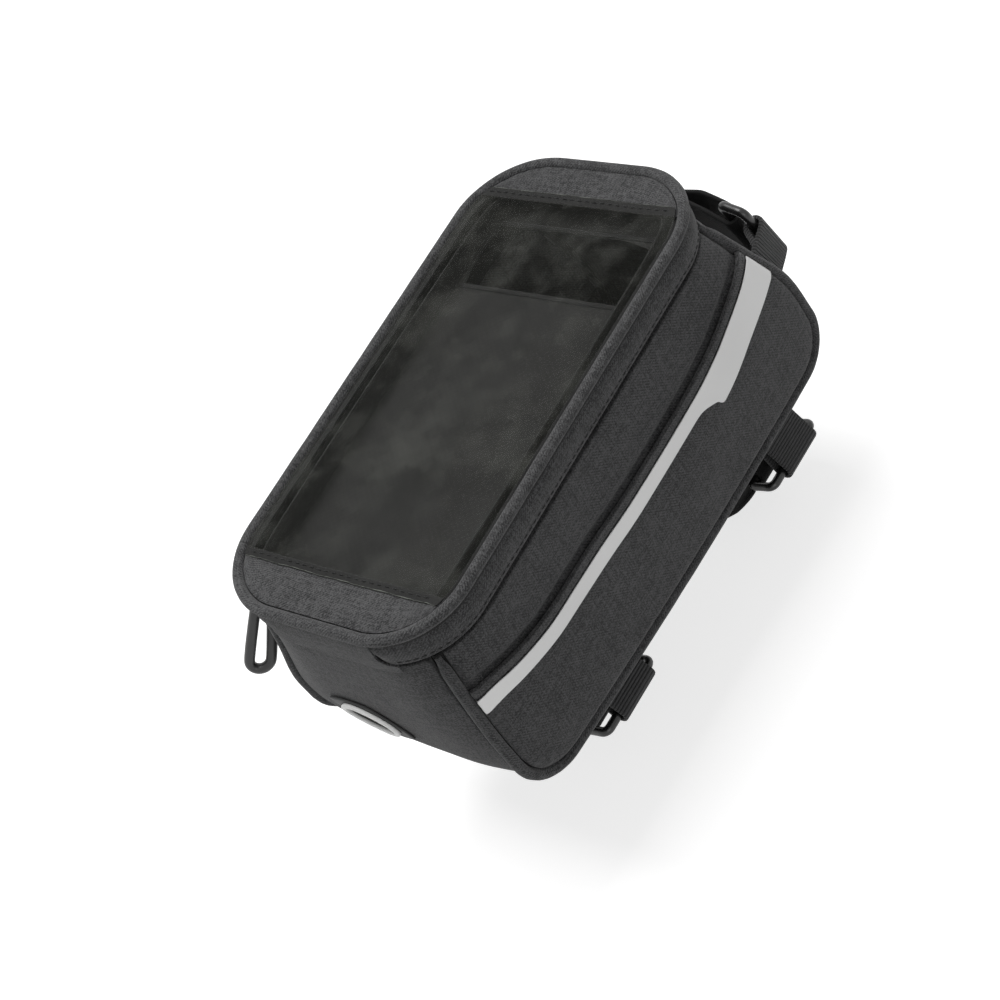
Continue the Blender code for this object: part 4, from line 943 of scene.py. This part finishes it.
def make_side(name, sign, seam):
    """Side wall, pocket, binding and reflective tape of one side, and the piping round them."""
    def crumple(spots, node):
        _, y, z = spots.T
        far, where = seam_distance(spots, seam)
        calm = ramp(far - 3.0, 14.0) * ramp(RIM_Z - z + 1.0, 7.0)
        wave = 0.55 * soft_noise(y, z * 1.3, 11 + sign) * calm
        pucker = 0.10 * np.sin(where * 1.1) * ramp(11.0 - far, 7.0) * ramp(far - 2.3, 2.0)
        groove = -0.8 * np.exp(-((far - 2.8) / 1.1) ** 2)
        strip_top = np.interp(y, STRIP_Y, STRIP_Z)
        pinch = 0.0
        if node == "side_panel_":
            mouth = strip_top + POCKET_MOUTH_RISE
            pinch = -1.5 * np.exp(-((z - mouth) / 2.0) ** 2) * ramp(92.0 - np.abs(y), 20.0)
        move = np.zeros_like(spots)
        move[:, 0] = sign * (wave + pucker + pinch + groove)
        if node == "reflective_strip_":
            near = np.exp(-((y - STRIP_STEP_Y) / 2.2) ** 2) * ease((strip_top - z - 5.0) / 1.5)
            move[:, 1] -= 0.65 * (y - STRIP_STEP_Y) * near
        return move

    for node, piece, material, slot in (
            ("side_panel_", "side_wall_", CLOTH, "cloth"),
            ("side_pocket_", "pocket_cloth_", CLOTH, "cloth"),
            ("pocket_hem_", "pocket_binding_", CORD_CLOTH_PAINTED_LIGHT, "cloth"),
            ("reflective_strip_", "reflective_tape_", STRIPE, "reflective")):
        dress(node + name, 3, piece + name, material, "bag", slot,
              lambda spots, node=node: crumple(spots, node))

    path = resample(seam, CORD_SPACING)
    guides = [Vector((sign, 0, 0))] * len(path)
    rows = cord_rows(path, CORD_RADIUS, guides, CORD_SIDES, False, 4.0 + sign, 5)
    loft("body_cord_" + name, rows, CORD_CLOTH_PAINTED_LIGHT, "bag", "piping", ["side_piping_" + name])
    inward = []
    for p in path:
        toward = (BODY_MIDDLE - p).normalized()
        inward.append(p + SEAM_INSET * Vector((-sign, toward.y, toward.z)))
    rows = cord_rows(inward, SEAM_RADIUS, guides, 8, False, 1.0)
    loft("body_seam_" + name, rows, SHADE_DARKENED_TAPE, "bag", "zip_tape")


def make_end_wall(node, piece, front):
    """Rear or front wall, slack except near its seams and round the cable port."""
    seams = [[Vector((sign * p.x, p.y, p.z)) for p in resample(end_edge(front), SEAM_SPACING)]
             for sign in (1, -1)]

    def sway(spots):
        x, _, z = spots.T
        far = np.minimum(*(seam_distance(spots, seam)[0] for seam in seams))
        calm = ramp(far - 3.0, 14.0) * ramp(RIM_Z - z, 9.0) * ramp(z - base_line(0) - 8.0, 12.0)
        if not front:
            calm *= ramp(np.hypot(x + 8.0, (z + 54.0) * 1.6) - 16.0, 10.0)
        move = np.zeros_like(spots)
        move[:, 1] = (1 if front else -1) * 0.5 * soft_noise(x, z * 1.2, 21 + front) * calm
        return move

    dress(node, 3, piece, CLOTH, "bag", "cloth", sway)


def make_walls():
    edge = resample(side_edge(), SEAM_SPACING)
    for name, sign in (("right", 1), ("left", -1)):
        make_side(name, sign, [Vector((sign * p.x, p.y, p.z)) for p in edge])
    make_end_wall("rear_panel", "rear_wall", False)
    make_end_wall("front_panel", "front_wall", True)
    for name, y in (("seam_tape_rear", REAR_FACE_Y + REAR_BEND),
                    ("seam_tape_front", FRONT_FACE_Y - FRONT_BEND)):
        rows = []
        for across in spread(y - 3.0, y + 3.0, 12):
            lift = 0.02 * max(0.0, (across - y) * (1 if y > 0 else -1)) ** 2
            z = base_line(across) + 2.55 + lift
            rows.append([(x, across, z) for x in (-40.5, -20.0, 0.0, 20.0, 40.5)])
        sheet_solid(name, rows, 0.4, SHADE_DARKENED_TAPE, "bag", "zip_tape")
    dress("base_panel", 3, "base_wall", CLOTH, "bag", "cloth")
    dress("base_board", 2, "stiff_board", BOARD, "bag", "board")


def make_zip():
    """Tapes, and the nylon teeth along each edge of the zip."""
    run = lid_run(RUN_SPACING, HINGE_HALF)
    lengths = run_lengths(run)
    half = 0.35
    for name, top, low, body in (("zip_tape_lid", -2.5, -9.2, "lid"),
                                 ("zip_tape_body", -13.3, -22.0, "bag")):
        middle = (top + low) / 2
        rows = []
        for k in range(len(run)):
            ripple = 0.12 * wander(lengths[k] * 0.12, top)
            rows.append([station(run, k, -ZIP_INSET + out + ripple, z) for out, z in
                         ((half, top), (half, middle), (half, low), (-half, low),
                          (-half, middle), (-half, top))])
        loft(name + "_cloth", rows, SHADE_DARKENED_TAPE, body, "zip_tape", [name])
    for name, middle, body in (("zip_coil_lid", -10.1, "lid"), ("zip_coil_body", -12.4, "bag")):
        points, faces = [], []
        walk = margin = 0.6
        while walk < lengths[-1] - margin:
            i, share = step_at(lengths, walk)
            x, y, nx, ny = (a + (b - a) * share for a, b in zip(run[i], run[i + 1]))
            tx, ty = -ny, nx
            faces += bar_faces(len(points), 4, 4)
            for out, size in ((-0.88, 0.30), (-0.5, 0.42), (0.5, 0.42), (0.88, 0.30)):
                for a, b in ((-1, -1), (1, -1), (1, 1), (-1, 1)):
                    reach = -ZIP_INSET + out
                    points.append((x + nx * reach + tx * a * size, y + ny * reach + ty * a * size,
                                   middle + b * (0.35 + size * 0.5)))
            walk += TOOTH_PITCH
        add_piece(name + "_teeth", points, faces, COIL, body, "zip_coil", [name])


def make_port():
    dress("cable_port_patch", 2, "port_patch", RUBBER, "bag", "port_rubber")
    dress("cable_port_ring", 2, "port_rim", WHITE, "bag", "port_ring", swell=0.28)


# Straps.

def fillet_path(corners):
    """Path through corners (u, v, radius), each rounded by its radius."""
    spots = [Vector((u, v)) for u, v, _ in corners]
    path = [spots[0]]
    for i in range(1, len(spots) - 1):
        radius = corners[i][2]
        back = (spots[i - 1] - spots[i]).normalized()
        ahead = (spots[i + 1] - spots[i]).normalized()
        half = back.angle(ahead) / 2
        if radius == 0 or half > math.radians(89):
            path.append(spots[i])
            continue
        center = spots[i] + (back + ahead).normalized() * radius / math.sin(half)
        first = spots[i] + back * radius / math.tan(half) - center
        last = spots[i] + ahead * radius / math.tan(half) - center
        sweep = math.degrees(math.atan2(first.x * last.y - first.y * last.x, first.dot(last)))
        begin = math.degrees(math.atan2(first.y, first.x))
        path += [Vector(p) for p in arc(center, radius, begin, begin + sweep, 8)]
    path.append(spots[-1])
    return path


def band(name, path, place, material, node, seed):
    """Woven band along a path, with rounded selvedges."""
    flat = resample([Vector((p.x, p.y, 0)) for p in path], 0.8)
    rows = []
    half, deep = WEB_WIDTH / 2, WEB_THICKNESS / 2
    upper = [(-half, 0.0), (0.25 - half, 0.8 * deep), (0.8 - half, deep), (-half / 3, deep)]
    upper += [(-w, d) for w, d in upper[::-1]]
    section = upper + [(w, -d) for w, d in upper[-2:0:-1]]
    for i, p in enumerate(flat):
        before, after = flat[max(i - 1, 0)], flat[min(i + 1, len(flat) - 1)]
        tangent = (after - before).normalized()
        side = Vector((-tangent.y, tangent.x))
        edge = 1 - 0.006 * (1 + wander(i * 0.06, seed))
        rows.append([place(p.x + side.x * d, p.y + side.y * d, w * edge) for w, d in section])
    return loft(name, rows, material, "bag", "webbing", [node])


def make_strap(label, place, roots, bars, bottom, tail, twist, skew, slide):
    """One loop: a sewn tab, its ring and the strap that doubles back through the ring.
    place turns (along, out, across) into a spot; twist, skew and slide let the loop hang askew."""
    reach = BAR_RADIUS + BAR_GAP + WEB_HALF + 0.15
    outer_bar, inner_bar = bars
    anchor_root, strap_root = roots
    start = anchor_root[-1]
    lift = math.degrees(math.atan2(outer_bar[1] - start[1], outer_bar[0] - start[0]))
    wrap = [(u, v, 0.0) for u, v in arc(outer_bar, reach, lift - 85, lift + 95, 20)]
    tab = anchor_root + wrap + [(start[0] - 0.3 * WEB_LAYER, start[1] + WEB_LAYER, 0.0)]
    band("tab_" + label, fillet_path(tab), place, STRAP, "anchor_tab_" + label, 1.0)

    low_left, low_middle = bottom
    depth = inner_bar[1]
    wrap = [(u, v, 0.0) for u, v in arc(inner_bar, reach, -100, 95, 20)]
    tail_length, *lifts = tail
    slope = (low_middle[1] - inner_bar[1]) / (inner_bar[0] - low_middle[0])
    run = strap_root + [low_left, low_middle] + wrap
    for share, lift_off, bend in ((0.5, lifts[0], 12.0), (1.0, lifts[1], 0.0)):
        along = tail_length * share
        out = inner_bar[1] + slope * along + WEB_LAYER + lift_off
        run.append((inner_bar[0] - along, out, bend))

    def sagging(u, v, w):
        span = inner_bar[0] - low_left[0]
        share = min(max((inner_bar[0] - u) / span, 0.0), 1.0)
        deep = min(max(v / depth - 0.5, 0.0), 0.5) * 2
        sag = math.sin(math.pi * share) ** 0.3 * deep
        turn = math.radians(twist) * sag
        across = w * math.cos(turn) - skew * sag - slide * deep * math.sqrt(1 - share)
        return place(u, v + w * math.sin(turn), across)

    # The loop is near black, partly its own colour and partly painted shade for the inside of the
    # loop.
    band("loop_" + label, fillet_path(run), sagging, LOOP_BLACK_AND_SHADE, "strap_" + label, 5.0)

    middle = ((outer_bar[0] + inner_bar[0]) / 2, (outer_bar[1] + inner_bar[1]) / 2)
    toward = Vector((inner_bar[0] - outer_bar[0], inner_bar[1] - outer_bar[1]))
    half_gap = toward.length / 2
    toward.normalize()
    half_length = RING_LENGTH / 2 - BAR_RADIUS
    ring = []
    for cx, cy, begin in ((1, 1, 0), (-1, 1, 90), (-1, -1, 180), (1, -1, 270)):
        center = (cx * (half_gap - RING_CORNER), cy * (half_length - RING_CORNER))
        ring += [Vector((a, b, 0)) for a, b in arc(center, RING_CORNER, begin, begin + 90, 8)]
    ring = resample(ring + ring[:1], 0.7)[:-1]
    path = [Vector(place(middle[0] + toward.x * p.x, middle[1] + toward.y * p.x, p.y - 2.0))
            for p in ring]
    level = Vector(place(0, 0, 0))
    flat = (Vector(place(1, 0, 0)) - level) * -toward.y
    flat += (Vector(place(0, 1, 0)) - level) * toward.x
    rows = cord_rows(path, RING_WIRE, [flat] * len(path), CORD_SIDES, True, 3.0)
    loft("ring_" + label, rows, PLASTIC, "bag", "buckle", ["ring_buckle_" + label], closed_run=True)


def make_straps():
    lean = math.tan(BASE_PITCH)
    sewn = BAR_GAP + WEB_HALF
    inset = BAR_RADIUS + BAR_GAP + 1.5
    drop = RING_PITCH * math.tan(math.radians(12.0))

    def below(y_center):
        surface = base_line(y_center) + BASE_FACE

        def place(u, v, w):
            return (u, y_center + w, surface - w * lean - v)
        return place

    for label, y_center, depth, skew, tail in (
            ("front", FRONT_STRAP_Y, 34.5, 13.0, (14.0, 1.8, 1.0)),
            ("rear", REAR_STRAP_Y, 25.5, 11.0, (13.0, 0.6, 0.8))):
        fold = LOOP_HALF_SPAN - inset
        bars = ((fold, depth), (fold - RING_PITCH, depth + drop))
        roots = ([(8.0, sewn, 0.0), (19.0, sewn, 5.5)], [(6.0, sewn, 0.0), (-19.0, sewn, 5.5)])
        bottom = ((-LOOP_HALF_SPAN, depth + 2.0, 7.0), (10.0, depth + 10.5, 16.0))
        make_strap(label, below(y_center), roots, bars, bottom, tail, -8.0, skew, 4.0)

    def ahead(u, v, w):
        top, low = HEAD_WALL
        wall = top + (low - top) * (w / WEB_WIDTH + 0.5)
        near = max(0.0, 1.0 - v / 6.0)
        return HEAD_CENTER + Vector((u, 0, 0)) + HEAD_OUT * (v + wall * near) + HEAD_ALONG * w

    fold, depth = HEAD_HALF_SPAN - inset, 7.4
    bars = ((fold, depth), (fold - RING_PITCH, depth + drop))
    bottom = ((-HEAD_HALF_SPAN, 9.4, 5.0), (4.0, 12.0, 30.0))
    roots = ([(39.0, 1.0, 0.0)], [(-39.0, 1.0, 0.0)])
    make_strap("head", ahead, roots, bars, bottom, (28.0, 2.6, -0.6), -6.0, 2.0, 0.0)

    rows = []
    margin, thickness = 13.0, 1.6
    for y in spread(REAR_STRAP_Y + margin, FRONT_STRAP_Y - margin, 80):
        z = base_line(y) + BASE_FACE - BAR_GAP - thickness / 2
        rows.append([(x, y, z) for x in (-13.0, -12.6, -8.0, 0.0, 8.0, 12.6, 13.0)])
    sheet_solid("seat_webbing", rows, thickness, STRAP, "bag", "webbing", ["base_webbing"])


def make_zip_pull():
    dress("zip_slider", 1, "slider_body", METAL, "zip_slider", "slider_metal")
    dress("zip_puller", 2, "puller_loop", PULLER, "zip_puller", "puller_rubber")


# Camera, floor and lights.

def make_camera():
    rotation = Matrix.Rotation(CAMERA_TURN.length, 3, CAMERA_TURN.normalized())
    back = rotation.transposed()
    spot = -(back @ CAMERA_MOVE)
    facing = (back @ Matrix.Diagonal((1.0, -1.0, -1.0))).to_4x4()
    data = bpy.data.cameras.new("camera")
    data.lens = SENSOR * FOCAL_IN_WIDTHS
    data.sensor_width = SENSOR
    data.clip_start = 0.01
    camera = put("camera", data)
    camera.matrix_world = BAG @ (Matrix.Translation(spot * MM) @ facing)
    bpy.context.scene.camera = camera


def make_floor():
    g = paint("floor_paper")
    glow = g.times(g.seen(), 0.7)
    g.set(Base_Color=(0.6, 0.6, 0.6, 1.0), Roughness=0.9, Specular_IOR_Level=0.1,
          Emission_Color=WHITE_LIGHT, Emission_Strength=glow)
    mesh = bpy.data.meshes.new("floor")
    low = min(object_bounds()[0].z, 0.0) - 0.0005
    reach = 6.0
    mesh.from_pydata([(-reach, -reach, low), (reach, -reach, low), (reach, reach, low),
                      (-reach, reach, low)], [], [(0, 1, 2, 3)])
    mesh.materials.append(g.owner)
    floor = put("floor", mesh)


def make_lights():
    world = bpy.data.worlds.new("studio")
    bpy.context.scene.world = world
    g = Graph(world, "Background")
    strength = g.node("ShaderNodeMapRange",
                      {"Value": g.seen(), "To Min": ROOM_LIGHT, "To Max": 1.0})
    g.set(Color=WHITE_LIGHT, Strength=strength.outputs[0])
    for name, (place, target, size, power) in LAMPS.items():
        data = bpy.data.lights.new(name, "AREA")
        data.shape = "RECTANGLE"
        data.size, data.size_y = size
        data.energy = power
        lamp = put(name, data)
        lamp.location = place
        lamp.rotation_euler = (Vector(target) - Vector(place)).to_track_quat("-Z", "Y").to_euler()


make_lid_cloth(False)
make_lid_cloth(True)
make_film()
make_lid_cord()
make_flap()
make_hinge_cloth()
make_window_pocket()
make_walls()
make_zip()
make_port()
make_straps()
make_zip_pull()
make_camera()
make_floor()
make_lights()
bpy.context.scene.view_settings.view_transform = "Standard"
